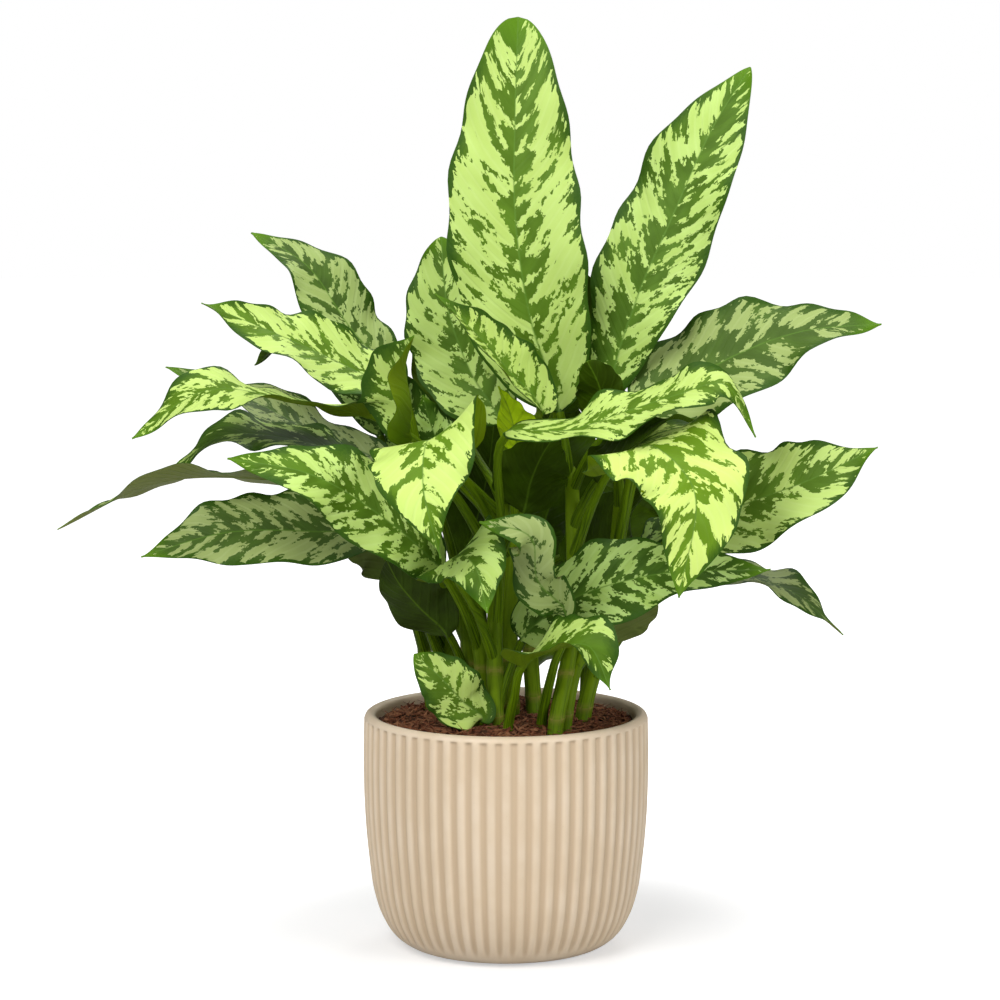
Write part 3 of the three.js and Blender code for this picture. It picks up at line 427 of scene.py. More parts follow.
SOIL_TINT = 0.1  # how much a crumb's own tint counts
COIR_TINT = 0.7

# ---- Camera and stage ----
LENS = 120.26
SENSOR = 36
CAMERA_PLACE = (-4, -2200, 569)
CAMERA_PITCH = 6.975
CAMERA_REACH = 100  # metres
FLOOR_SIZE = 16000
FLOOR_ROUGHNESS = 0.9
FLOOR_GLOW = (0.5, 1.0)  # next to the pot and far from it
GLOW_REACH = (140, 330)
WORLD_SEEN = 1.0
WORLD_LIGHT = 0.12
LAMPS = {  # place, aim, width and watts
    "key": ((-850, -1650, 1850), (0, 0, 300), 1500, 40),
    "fill": ((1500, -1300, 900), (0, 0, 300), 1100, 19),
    "left": ((-1600, -1100, 700), (0, 0, 250), 1100, 5),
    "top": ((0, 0, 2300), (0, 0, 300), 1600, 22),
    "back": ((500, 1600, 1700), (0, 0, 350), 900, 8),
}


# ---- Helpers for meshes ----


def add_mesh(name, points, faces, materials, slots=None, smooth=True):
    """A mesh object from points in millimetres, with a material index for each face."""
    mesh = bpy.data.meshes.new(name)
    mesh.from_pydata((np.asarray(points) * MM).tolist(), [], faces)
    for material in materials:
        mesh.materials.append(material)
    if slots is not None:
        mesh.polygons.foreach_set("material_index", np.asarray(slots, np.int32))
    if smooth:
        mesh.shade_smooth()
    mesh.update()
    piece = bpy.data.objects.new(name, mesh)
    bpy.context.scene.collection.objects.link(piece)
    return piece


def add_attribute(piece, name, values):
    """A number, or a vector of three, for each of a mesh's points, for its material to read."""
    values = np.asarray(values, np.float32)
    kind, key = ("FLOAT_VECTOR", "vector") if values.ndim == 2 else ("FLOAT", "value")
    piece.data.attributes.new(name, kind, "POINT").data.foreach_set(key, values.ravel())


def ring_faces(rings, size):
    """The quads between rings of points, wound so that they face out."""
    k, j = np.meshgrid(np.arange(rings - 1), np.arange(size), indexing="ij")
    a = (k * size + j).ravel()
    b = (k * size + (j + 1) % size).ravel()
    return np.stack([a, b, b + size, a + size], axis=1)


def tube(rings):
    """The points and the faces of a closed body through rings of one size, from its foot to its top."""
    size = len(rings[0])
    last = (len(rings) - 1) * size
    faces = ring_faces(len(rings), size).tolist()
    faces += [list(range(size))[::-1], list(range(last, last + size))]
    return np.concatenate(rings), faces


def circle(radius, z, sides):
    turn = WHOLE_TURN * np.arange(sides) / sides
    return np.stack([radius * np.cos(turn), radius * np.sin(turn), np.full(sides, float(z))], axis=1)


def turned(points, angle, first, second):
    """The points turned by an angle from their first axis towards their second."""
    result = points.copy()
    result[:, first] = points[:, first] * math.cos(angle) - points[:, second] * math.sin(angle)
    result[:, second] = points[:, first] * math.sin(angle) + points[:, second] * math.cos(angle)
    return result


def finished(piece, slot, *nodes):
    """Puts a piece on the model's one body, in place of its plain nodes. Its slot is not used."""
    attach(piece, ROOT)
    if nodes:
        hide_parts(*nodes)


def smoothstep(low, high, x):
    """0 at low, 1 at high, and smooth between."""
    t = np.clip((np.asarray(x, float) - low) / (high - low), 0, 1)
    return t * t * (3 - 2 * t)


class Spline:
    """A smooth curve through given points, with tangents weighed by the spacing of the points."""

    TANGENT_REACH = 0.5

    def __init__(self, points):
        self.points = np.array(points, float)
        steps = np.diff(self.points, axis=0)
        self.spans = np.linalg.norm(steps, axis=1)
        self.knots = np.concatenate([[0], np.cumsum(self.spans)])
        slopes = steps / self.spans[:, None]
        share = (self.spans[:-1] / (self.spans[:-1] + self.spans[1:]))[:, None]
        middle = slopes[:-1] + (slopes[1:] - slopes[:-1]) * share
        self.tangents = np.concatenate([slopes[:1], middle, slopes[-1:]])

    def at(self, length):
        length = np.atleast_1d(np.asarray(length, float))
        i = np.clip(np.searchsorted(self.knots, length) - 1, 0, len(self.spans) - 1)
        h = self.spans[i][:, None]
        t = (length - self.knots[i])[:, None] / h
        return (
            self.points[i] * (2 * t**3 - 3 * t**2 + 1)
            + self.tangents[i] * h * (t**3 - 2 * t**2 + t)
            + self.points[i + 1] * (3 * t**2 - 2 * t**3)
            + self.tangents[i + 1] * h * (t**3 - t**2)
        )

    def tangent_at(self, length):
        length = np.atleast_1d(np.asarray(length, float))
        ahead = self.at(np.minimum(length + self.TANGENT_REACH, self.knots[-1]))
        step = ahead - self.at(np.maximum(length - self.TANGENT_REACH, 0))
        return step / np.linalg.norm(step, axis=1, keepdims=True)


# ---- Helpers for materials ----


class Tree:
    """Adds nodes to a material's or a group's tree, and links what it is given."""

    def __init__(self, tree):
        self.tree = tree

    def add(self, kind, inputs=None, **settings):
        node = self.tree.nodes.new("ShaderNode" + kind)
        for key, value in settings.items():
            setattr(node, key, value)
        for key, value in (inputs or {}).items():
            self.put(value, node.inputs[key])
        return node

    def put(self, value, socket):
        if isinstance(value, bpy.types.NodeSocket):
            self.tree.links.new(value, socket)
        else:
            socket.default_value = value

    def math(self, operation, *values):
        return self.add("Math", dict(enumerate(values)), operation=operation).outputs[0]

    def times(self, first, second):
        return self.math("MULTIPLY", first, second)

    def plus(self, first, share, second):
        """The second value, and the first times the share on top of it."""
        return self.math("MULTIPLY_ADD", first, share, second)

    def step(self, low, high, value):
        """0 below low, 1 above high, smooth between."""
        inputs = {"Value": value, "From Min": low, "From Max": high}
        return self.add("MapRange", inputs, interpolation_type="SMOOTHSTEP").outputs[0]

    def mix(self, share, first, second):
        return self.add("Mix", {0: share, 6: first, 7: second}, data_type="RGBA").outputs[2]

    def noise(self, vector, scale, detail=2.0, roughness=0.5):
        inputs = {"Vector": vector, "Scale": scale, "Detail": detail, "Roughness": roughness}
        return self.add("TexNoise", inputs).outputs["Fac"]

    def vector(self, x, y, z):
        return self.add("CombineXYZ", {0: x, 1: y, 2: z}).outputs[0]

    def attribute(self, name, output="Vector"):
        return self.add("Attribute", attribute_name=name, attribute_type="GEOMETRY").outputs[output]

    def parts(self, vector):
        return self.add("SeparateXYZ", {0: vector}).outputs

    def bump(self, height, relief, strength=1.0):
        inputs = {"Height": height, "Distance": relief * MM, "Strength": strength}
        return self.add("Bump", inputs).outputs[0]

    def group(self, group, inputs):
        return self.add("Group", inputs, node_tree=group).outputs


def new_group(name, inputs, outputs):
    """A shader node group with named sockets. Returns its tree, its inputs and its output node."""
    group = bpy.data.node_groups.new(name, "ShaderNodeTree")
    for label, kind in inputs.items():
        group.interface.new_socket(name=label, in_out="INPUT", socket_type="NodeSocket" + kind)
    for label, kind in outputs.items():
        group.interface.new_socket(name=label, in_out="OUTPUT", socket_type="NodeSocket" + kind)
    tree = Tree(group)
    return tree, group.nodes.new("NodeGroupInput").outputs, group.nodes.new("NodeGroupOutput").inputs


def new_material(name, **sockets):
    """A material whose Principled BSDF has these plain values. Returns it, its tree and that shader's
    inputs."""
    material = bpy.data.materials.new(name)
    material.use_nodes = True
    shader = material.node_tree.nodes["Principled BSDF"]
    for label, value in sockets.items():
        shader.inputs[label.replace("_", " ")].default_value = value
    return material, Tree(material.node_tree), shader.inputs


# ---- Shader groups ----


def leaf_vein_group():
    """Where a point of a blade lies among its side veins, which leave the midrib and sweep to the tip."""
    tree, given, out = new_group(
        "Leaf veins",
        {"Blade": "Vector", "Leaf": "Vector"},
        {"Across Veins": "Float", "Along Veins": "Float", "Out": "Float", "To Margin": "Float",
         "Midrib": "Float", "Side Veins": "Float", "Seed": "Float"},
    )
    along, across, half = tree.parts(given["Blade"])
    share, _, seed = tree.parts(given["Leaf"])
    out_mm = tree.math("ABSOLUTE", across)
    # Towards the tip the side veins run nearly along the midrib.
    sweep = tree.plus(tree.step(*TIP_SWEEP_SPAN, share), VEIN_TIP_SWEEP, VEIN_SWEEP)
    forward = tree.times(out_mm, sweep)
    curl = tree.times(tree.times(out_mm, out_mm), VEIN_CURL)
    run = tree.math("SUBTRACT", tree.math("SUBTRACT", along, forward), curl)
    # Square to each other on the blade: how far across the side veins, and how far along them.
    stretch = math.sqrt(1 + VEIN_SWEEP**2)
    reach = tree.plus(run, VEIN_SWEEP / stretch**2, out_mm)
    side = tree.plus(tree.math("SIGN", across), HALF_SEED, seed)
    beat = tree.math("SINE", tree.times(run, 2 * math.pi / VEIN_PITCH))
    wobble = tree.noise(tree.vector(run, out_mm, side), WOBBLE_SCALE, detail=1)
    crest = tree.plus(wobble, WOBBLE, tree.math("SUBTRACT", beat, VEIN_LEVEL))
    rib_width = tree.plus(share, MIDRIB_THINNING, MIDRIB_LINE)
    results = {
        "Across Veins": tree.math("DIVIDE", run, stretch),
        "Along Veins": tree.times(reach, stretch),
        "Out": out_mm,
        "To Margin": tree.math("SUBTRACT", half, out_mm),
        "Midrib": tree.step(1.0, 0.0, tree.math("DIVIDE", out_mm, rib_width)),
        "Side Veins": tree.step(*VEIN_SPAN, crest),
        "Seed": side,
    }
    for label, value in results.items():
        tree.put(value, out[label])
    return tree.tree


def soft_mottle_group():
    """A colour that drifts between two, as living and fired surfaces do."""
    tree, given, out = new_group(
        "Soft mottle",
        {"Place": "Vector", "Scale": "Float", "First": "Color", "Second": "Color"},
        {"Color": "Color", "Drift": "Float"},
    )
    drift = tree.noise(given["Place"], given["Scale"], detail=3, roughness=MOTTLE_ROUGHNESS)
    tree.put(tree.mix(tree.step(*MOTTLE_SPAN, drift), given["First"], given["Second"]), out["Color"])
    tree.put(drift, out["Drift"])
    return tree.tree


# ---- Materials ----


def leaf_veins(tree, group):
    return tree.group(group, {"Blade": tree.attribute("blade"), "Leaf": tree.attribute("leaf")})


def blade_noise(tree, x, y, seed, size, detail):
    """Noise with features of a size in millimetres, across the side veins and along them."""
    place = tree.vector(tree.math("DIVIDE", x, size[0]), tree.math("DIVIDE", y, size[1]), seed)
    return tree.noise(place, 1.0, detail)


def patch_lobes(tree, x, y, seed):
    """The small lobes that the blade is divided into. Returns where the middle of the lobe here lies, so
    that a lobe is dark or pale as a whole, and the lobe's own chance."""
    ragged = blade_noise(tree, x, y, seed, RAGGED_SIZE, 1.0)
    push = tree.times(tree.math("SUBTRACT", ragged, 0.5), 2 * CELL_RAGGED)
    shift = tree.plus(seed, CELL_SPREAD, push)
    cell_x = tree.math("ADD", tree.math("DIVIDE", x, CELL_SIZE[0]), shift)
    cell_y = tree.math("ADD", tree.math("DIVIDE", y, CELL_SIZE[1]), push)
    cells = tree.add("TexVoronoi", voronoi_dimensions="2D", feature="SMOOTH_F1")
    tree.put(tree.vector(cell_x, cell_y, 0.0), cells.inputs["Vector"])
    tree.put(1.0, cells.inputs["Scale"])
    tree.put(CELL_ROUNDING, cells.inputs["Smoothness"])
    centre = tree.parts(cells.outputs["Position"])
    x_lobe = tree.plus(tree.math("SUBTRACT", centre[0], cell_x), CELL_SIZE[0], x)
    y_lobe = tree.plus(tree.math("SUBTRACT", centre[1], cell_y), CELL_SIZE[1], y)
    return x_lobe, y_lobe, tree.parts(cells.outputs["Color"])[0]


def leaf_upper_material(vein_group):
    """Lime and grey-green blades, their grey-green partly their own tone and partly painted shade. Their
    dark patches are mosaics of small lobes that feather out from the midrib along the side veins, with
    loose flecks near the margin and a thin dark rim."""
    material, tree, shader = new_material("leaf_upper", Specular_IOR_Level=0.14)
    veins = leaf_veins(tree, vein_group)
    share, fineness, _ = tree.parts(tree.attribute("leaf"))
    pale, darkness, lit = tree.parts(tree.attribute("look"))
    x, y = tree.times(veins["Across Veins"], fineness), tree.times(veins["Along Veins"], fineness)
    seed = veins["Seed"]
    x_lobe, y_lobe, chance = patch_lobes(tree, x, y, seed)

    out_mm = tree.plus(tree.math("SUBTRACT", y_lobe, y), CELL_PULL, veins["Out"])
    half = tree.math("MAXIMUM", tree.math("ADD", veins["Out"], veins["To Margin"]), 1.0)
    near_midrib = tree.step(MIDRIB_REACH, 0.0, tree.math("DIVIDE", out_mm, half))
    near_margin = tree.step(MARGIN_REACH, 0.0, tree.math("SUBTRACT", half, out_mm))
    near_tip = tree.step(*TIP_SPAN, share)
    clusters = blade_noise(tree, x, y, seed, CLUSTER_SIZE, 0.0)
    dark = blade_noise(tree, x_lobe, y_lobe, seed, PATCH_SIZE, PATCH_DETAIL)
    for cause, weight in (
        (chance, CELL_CHANCE), (clusters, CLUSTER_CHANCE), (near_midrib, MIDRIB_DARK),
        (near_margin, MARGIN_DARK), (near_tip, TIP_DARK), (darkness, 1.0),
    ):
        dark = tree.plus(cause, weight, dark)
    rim_drift = blade_noise(tree, x, 0.0, seed, RIM_SIZE, 2.0)
    rim_mm = tree.plus(tree.step(*RIM_SPAN, rim_drift), RIM_WIDTH[1], RIM_WIDTH[0])
    rim = tree.math("LESS_THAN", veins["To Margin"], rim_mm)
    mask = tree.math("MAXIMUM", tree.step(*DARK_SPAN, dark), rim)

    drift = blade_noise(tree, x, y, seed, DRIFT_SIZE, 2.0)
    lime = tree.mix(tree.step(*LIME_SPAN, drift), LIME_DEEP, LIME)
    # Painted light, partly the yellow of a young leaf: the look's lit value makes the lime lighter and
    # yellower.
    lime = tree.mix(lit, lime, LIME_LIT)
    # Painted shade, partly the leaf's own tone: the look's pale value greys the lime field.
    lime = tree.mix(pale, lime, LIME_GREY_AND_SHADE)
    lime = tree.mix(tree.times(veins["Side Veins"], UPPER_VEIN_TINT), lime, VEIN_PALE)
    patch = tree.mix(tree.step(*PATCH_SPAN, drift), PATCH_GREEN, PATCH_DEEP)
    # Painted light: the look's lit value makes the dark patches lighter and yellower.
    patch = tree.mix(tree.times(lit, UPPER_LIT_TINT), patch, PATCH_LIT)
    # Painted shade, partly the leaf's own tone: the look's pale value greys the dark patches too.
    patch = tree.mix(tree.times(pale, UPPER_GREY_AND_SHADE_TINT), patch, PATCH_GREY_AND_SHADE)
    edge = tree.mix(near_tip, RIM_GREEN, TIP_GREEN)
    patch = tree.mix(tree.math("MAXIMUM", near_margin, near_tip), patch, edge)
    colour = tree.mix(mask, lime, patch)
    colour = tree.mix(tree.times(veins["Midrib"], MIDRIB_TINT), colour, MIDRIB_GREEN)
    tree.put(colour, shader["Base Color"])
    relief = tree.plus(veins["Side Veins"], UPPER_VEIN_RELIEF, drift)
    tree.put(tree.bump(relief, UPPER_RELIEF), shader["Normal"])
    tree.put(tree.plus(drift, UPPER_ROUGHNESS[1], UPPER_ROUGHNESS[0]), shader["Roughness"])
    return material


def leaf_under_material(vein_group):
    """The plain olive back of a blade, with its raised pale midrib."""
    material, tree, shader = new_material("leaf_under", Roughness=0.5, Specular_IOR_Level=0.05)
    veins = leaf_veins(tree, vein_group)
    pale, _, lit = tree.parts(tree.attribute("look"))
    place = tree.vector(veins["Across Veins"], veins["Along Veins"], veins["Seed"])
    drift = tree.noise(place, UNDER_SCALE, detail=3)
    colour = tree.mix(tree.step(*UNDER_SPAN, drift), UNDER_GREEN, UNDER_DEEP)
    colour = tree.mix(pale, colour, UNDER_PALE)
    # Painted light: the look's lit value turns the back bright lime, as if light shone through the blade.
    colour = tree.mix(tree.times(lit, UNDER_LIT_TINT), colour, UNDER_LIT)
    colour = tree.mix(tree.times(veins["Side Veins"], UNDER_VEIN_TINT), colour, UNDER_VEIN)
    colour = tree.mix(tree.times(veins["Midrib"], MIDRIB_TINT), colour, UNDER_RIB)
    tree.put(colour, shader["Base Color"])
    relief = tree.plus(veins["Side Veins"], UNDER_VEIN_RELIEF, drift)
    tree.put(tree.bump(relief, UNDER_RELIEF), shader["Normal"])
    return material


def stem_material(name, mottle_group, young, old, roughness):
    """Green stalks, finely streaked along their length. The stem attribute holds the height up the stalk,
    the way round it, and how young it is there, which on a petiole is scaled by its leaf's painted light;
    the scar attribute is 1 where an old leaf grew."""
    material, tree, shader = new_material(name, Roughness=roughness, Specular_IOR_Level=0.07)
    along, around, youth = tree.parts(tree.attribute("stem"))
    streaks = tree.vector(tree.times(along, STREAK[0]), tree.times(around, STREAK[1]), youth)
    inputs = {"Place": streaks, "Scale": STREAK_SCALE, "First": young, "Second": old}
    mottle = tree.group(mottle_group, inputs)
    worn = tree.attribute("scar", "Fac")
    grain = tree.noise(tree.vector(along, tree.times(around, SCAR_GRAIN), 0.0), SCAR_GRAIN_SCALE, detail=3)
    marked = tree.times(worn, tree.step(*SCAR_SPAN, grain))
    # On a petiole the young colour also carries its leaf's painted light.
    green = tree.mix(youth, mottle["Color"], young)
    tree.put(tree.mix(marked, green, CANE_SCAR), shader["Base Color"])
    tree.put(tree.bump(tree.plus(worn, SCAR_RELIEF, mottle["Drift"]), STEM_RELIEF), shader["Normal"])
    return material


def object_mottle(tree, mottle_group, scale, first, second):
    """The place on a piece, and a mottle of two colours there."""
    place = tree.add("TexCoord").outputs["Object"]
    inputs = {"Place": place, "Scale": scale, "First": first, "Second": second}
    return place, tree.group(mottle_group, inputs)


def pot_material(mottle_group):
    """Warm beige satin glaze, thinner and lighter on the crests and darker in the grooves, partly pooled
    glaze and partly painted shade.
    """
    material, tree, shader = new_material("pot_glaze", Specular_IOR_Level=0.45)
    place, mottle = object_mottle(tree, mottle_group, GLAZE_SCALE, GLAZE_PALE, GLAZE_WARM)
    crest = tree.step(*CREST_SPAN, tree.attribute("crest", "Fac"))
    # Painted shade, partly pooled glaze: the grooves take a darker glaze colour.
    colour = tree.mix(crest, GLAZE_POOLED_AND_SHADE, mottle["Color"])
    specks = tree.step(*SPECK_SPAN, tree.noise(place, SPECK_SCALE, detail=1))
    tree.put(tree.mix(tree.times(specks, SPECK_TINT), colour, GLAZE_SPECK), shader["Base Color"])
    tree.put(tree.plus(mottle["Drift"], GLAZE_ROUGHNESS[1], GLAZE_ROUGHNESS[0]), shader["Roughness"])
    peel = tree.noise(place, PEEL_SCALE, detail=2)
    tree.put(tree.bump(peel, PEEL_RELIEF, PEEL_STRENGTH), shader["Normal"])
    return material


def soil_material(name, mottle_group, dark, light, tint_share):
    """Moist coir: reddish brown, each chip with its own tint."""
    material, tree, shader = new_material(name, Roughness=0.9, Specular_IOR_Level=0.25)
    _, mottle = object_mottle(tree, mottle_group, SOIL_SCALE, dark, light)
    tint = tree.times(tree.attribute("tint", "Fac"), tint_share)
    tree.put(tree.mix(tint, mottle["Color"], COIR_TAN), shader["Base Color"])
    tree.put(tree.bump(mottle["Drift"], SOIL_RELIEF), shader["Normal"])
    return material


# ---- Pot ----


def pot_profile():
    """Radius and height up the outside, over the lip and down the inside, closely spaced where it bends."""
    outside = Spline([(r, 0, z) for r, z in [POT_FOOT, *POT_OUTSIDE]])
    up = outside.at(np.linspace(0, outside.knots[-1], POT_RINGS))[:, [0, 2]]
    lip = Spline([(r, 0, z) for r, z in [POT_OUTSIDE[-1], *POT_LIP, POT_INSIDE[0]]])
    over = lip.at(np.linspace(0, lip.knots[-1], LIP_RINGS))[1:, [0, 2]]
    return np.concatenate([up, over, POT_INSIDE[1:]])


def groove_depth(z, t):
    """How deep a groove is at a height, t of the way from one groove to the next."""
    shape = (0.5 + 0.5 * np.cos(WHOLE_TURN * t)) ** RIB_ROUNDNESS
    arch = GROOVE_TOP - GROOVE_ARCH * (1 - shape)
    upper = smoothstep(arch + GROOVE_FADE[0], arch + GROOVE_FADE[1], z)
    return RIB_DEPTH * shape * upper * smoothstep(*GROOVE_BOTTOM, z)


def make_pot(material):
    """The ribbed pot: one closed wall, ribbed outside and plain inside."""
    sides = RIB_COUNT * POINTS_A_RIB
    t = np.arange(sides) / POINTS_A_RIB + RIB_TURN
    rings, crests = [], []
    for k, (radius, z) in enumerate(pot_profile()):
        depth = groove_depth(z, t) if k < POT_RINGS else np.zeros(sides)
        ring = circle(1, z, sides)
        ring[:, :2] *= (radius - depth)[:, None]
        rings.append(ring)
        crests.append(1 - depth / RIB_DEPTH)
    piece = add_mesh("ribbed_pot", *tube(rings), [material])
    add_attribute(piece, "crest", np.concatenate(crests))
    finished(piece, "pot", "pot")


# ---- Soil ----


def soil_height(x, y):
    """The height of the soil's surface: a low mound with lumps, level with the wall at its edge."""
    out = np.hypot(x, y) / POT_INSIDE[0][0]
    lumps = np.sin(x / LUMP_SIZE[0] + 1) * np.sin(y / LUMP_SIZE[1])
    lumps = lumps + SWELL * np.sin(x / SWELL_SIZE[0] - y / SWELL_SIZE[1] + 2)
    return SOIL_EDGE_HEIGHT + SOIL_MOUND * (1 - out**2) + SOIL_LUMP * lumps * (1 - out**6)


def crumbs(x, y):
    """Small random relief, a sum of waves that run every way."""
    random = np.random.default_rng(SOIL_SEED)
    total = np.zeros_like(x)
    for _ in range(CRUMB_WAVES):
        heading = random.uniform(0, WHOLE_TURN)
        pitch = random.uniform(*CRUMB_PITCH)
        phase = random.uniform(0, WHOLE_TURN)
        total += np.sin((x * np.cos(heading) + y * np.sin(heading)) * WHOLE_TURN / pitch + phase)
    return total * CRUMB_HEIGHT / math.sqrt(CRUMB_WAVES)


def make_soil(material):
    """The soil that fills the pot, in rings up its wall and then inwards over its surface."""
    wall = [(r - CLEARANCE, z) for r, z in reversed(POT_INSIDE[1:])]
    rings = [circle(r, z, SOIL_SIDES) for r, z in wall]
    rings[0][:, 2] += CLEARANCE
    edge = POT_INSIDE[0][0] - CLEARANCE
    for k in range(SOIL_RINGS):
        ring = circle(edge * (1 - k / SOIL_RINGS), 0, SOIL_SIDES)
        x, y = ring[:, 0], ring[:, 1]
        ring[:, 2] = soil_height(x, y) + crumbs(x, y)
        rings.append(ring)
    points, faces = tube(rings)
    piece = add_mesh("soil_bed", points, faces, [material])
    add_attribute(piece, "tint", np.random.default_rng(SOIL_SEED).uniform(0, 1, len(points)))
    finished(piece, "soil", "soil")


def strand(length, width, thick, curl):
    """A flat, slightly curled splinter along X, as rings of four points."""
    square = np.array([(0, -1, -1), (0, 1, -1), (0, 1, 1), (0, -1, 1)]) * 0.5
    rings = []
    for s in np.linspace(-0.5, 0.5, CHIP_RINGS):
        taper = 1 - CHIP_TAPER * (2 * abs(s)) ** 2
        bend = curl * length * (0.25 - s * s)
        corners = square * (1, width * taper, thick * taper)
        rings.append(corners + (s * length, bend, abs(bend) * CHIP_RISE))
    return rings


def make_coir(material):
    """Bark chips and coir fibres that lie loosely on the soil, as one piece."""
    random = np.random.default_rng(SOIL_SEED)
    points, faces, tints = [], [], []
    for spans in [CHIP_SPANS] * CHIP_COUNT + [FIBRE_SPANS] * FIBRE_COUNT:
        chip, body = tube(strand(*(random.uniform(*span) for span in spans)))
        reach = CHIP_REACH * math.sqrt(random.uniform(0, 1))
        heading, turn = random.uniform(0, WHOLE_TURN, 2)
        chip = turned(turned(chip, random.normal(0, CHIP_TILT), 0, 2), turn, 0, 1)
        chip += (reach * math.cos(heading), reach * math.sin(heading), 0)
        if np.hypot(chip[:, 0], chip[:, 1]).max() > CHIP_LIMIT:
            continue
        chip[:, 2] += soil_height(chip[:, 0].mean(), chip[:, 1].mean()) + random.uniform(*CHIP_LIFT)
        start = len(points) * len(chip)
        points.append(chip)
        faces += [[start + corner for corner in face] for face in body]
        tints.append(np.full(len(chip), random.uniform(0, 1) ** 2))
    piece = add_mesh("coir_chips", np.concatenate(points), faces, [material], smooth=False)
    add_attribute(piece, "tint", np.concatenate(tints))
    finished(piece, "soil")


# ---- Canes ----


def cane_centre(line, z):
    """The points of a cane's centre line at about these heights."""
    (x, y, _), top = line[0], line[-1][2]
    spline = Spline([(x, y, CANE_FOOT_HEIGHT), *line])
    along = (np.asarray(z, float) - CANE_FOOT_HEIGHT) / (top - CANE_FOOT_HEIGHT)
    return spline.at(along * spline.knots[-1])


def ring_scars(z, soil_z, top):
    """How much of a ring scar there is at each height, 1 where an old leaf grew."""
    scar = np.zeros_like(z)
    scar_end = min(SCAR_TOP, top - SCAR_PITCH)
    for middle in np.arange(soil_z + FIRST_SCAR, scar_end, SCAR_PITCH) + SCAR_HEIGHT / 2:
        scar = np.maximum(scar, np.exp(-(((z - middle) / (SCAR_HEIGHT * SCAR_SPREAD)) ** 2)))
    return scar


def make_cane(name, radii, line, material):
    """A tapered cane with a ring scar wherever an old leaf grew, and its pointed bud."""
    soil_z, top = line[0][2], line[-1][2]
    z = np.append(np.arange(CANE_FOOT_HEIGHT, top - BUD_LENGTH, CANE_STEP), top - BUD_LENGTH)
    centres = cane_centre(line, z)
    along = (z - CANE_FOOT_HEIGHT) / (top - CANE_FOOT_HEIGHT)
    radius = radii[0] + (radii[1] - radii[0]) * along
    scar = ring_scars(z, soil_z, top)
    turn = WHOLE_TURN * np.arange(CANE_SIDES) / CANE_SIDES
    rings, stems, scars = [], [], []
    for k in range(len(z)):
        oval = 1 + CANE_OVAL * np.sin(2 * turn + z[k] / CANE_TWIST)
        ring = circle(1, 0, CANE_SIDES) * (radius[k] * (1 + (SCAR_BULGE - 1) * scar[k])) * oval[:, None]
        rings.append(ring + centres[k])
        youth = np.full(CANE_SIDES, smoothstep(*CANE_YOUTH, z[k]))
        stems.append(np.stack([np.full(CANE_SIDES, z[k]), np.sin(turn), youth], axis=1))
        scars.append(np.full(CANE_SIDES, scar[k]))
    for share in BUD_SHARES:
        tip = cane_centre(line, top - BUD_LENGTH * (1 - share))
        size = radius[-1] + (BUD_RADIUS - radius[-1]) * share**BUD_CURVE
        rings.append(circle(size, 0, CANE_SIDES) + tip)
        stems.append(stems[-1])
        scars.append(np.zeros(CANE_SIDES))
    piece = add_mesh(f"stem_{name}", *tube(rings), [material])
    add_attribute(piece, "stem", np.concatenate(stems))
    add_attribute(piece, "scar", np.concatenate(scars))
    finished(piece, "cane", f"cane_{name}")


# ---- Leaves ----


def leaf_line(leaf):
    """The line of a leaf: up its petiole and along the midrib, and the length at the blade's base."""
    base = np.array(leaf["midrib"][0], float)
    foot = []
    if "soil" in leaf:
        root = np.array(leaf["soil"], float)
        foot = [(root[0], root[1], SHOOT_FOOT_HEIGHT)]
    else:
        line = CANES[leaf["cane"]][1]
        root = cane_centre(line, leaf["root"])[0]
    bend = root + (base - root) * BEND
    spline = Spline([*foot, root, bend, *leaf["midrib"]])
    return spline, spline.knots[len(foot) + 2]


def leaf_frames(leaf, spline, lengths, shares):
    """The side and the up of the blade at each of the lengths."""
    tangent = spline.tangent_at(lengths)
    first, last = np.array(leaf["face"], float)
    up = first + (last - first) * shares[:, None]
    up -= tangent * (up * tangent).sum(axis=1, keepdims=True)
    up /= np.linalg.norm(up, axis=1, keepdims=True)
    return np.cross(tangent, up), up


def blade_columns():
    """How far across a blade its points lie, from -1 to 1, closer together by the midrib."""
    t = np.linspace(-1, 1, BLADE_COLUMNS)
    return np.sign(t) * np.abs(t) ** COLUMN_SPREAD


def petiole_sections(radius, u):
    """A round stalk: how far across, how far over and under its line, and its radius."""
    turn = u * np.pi / 2
    depth = radius[:, None] * np.maximum(np.cos(turn), PETIOLE_EDGE)
    return radius[:, None] * np.sin(turn), depth, depth, radius


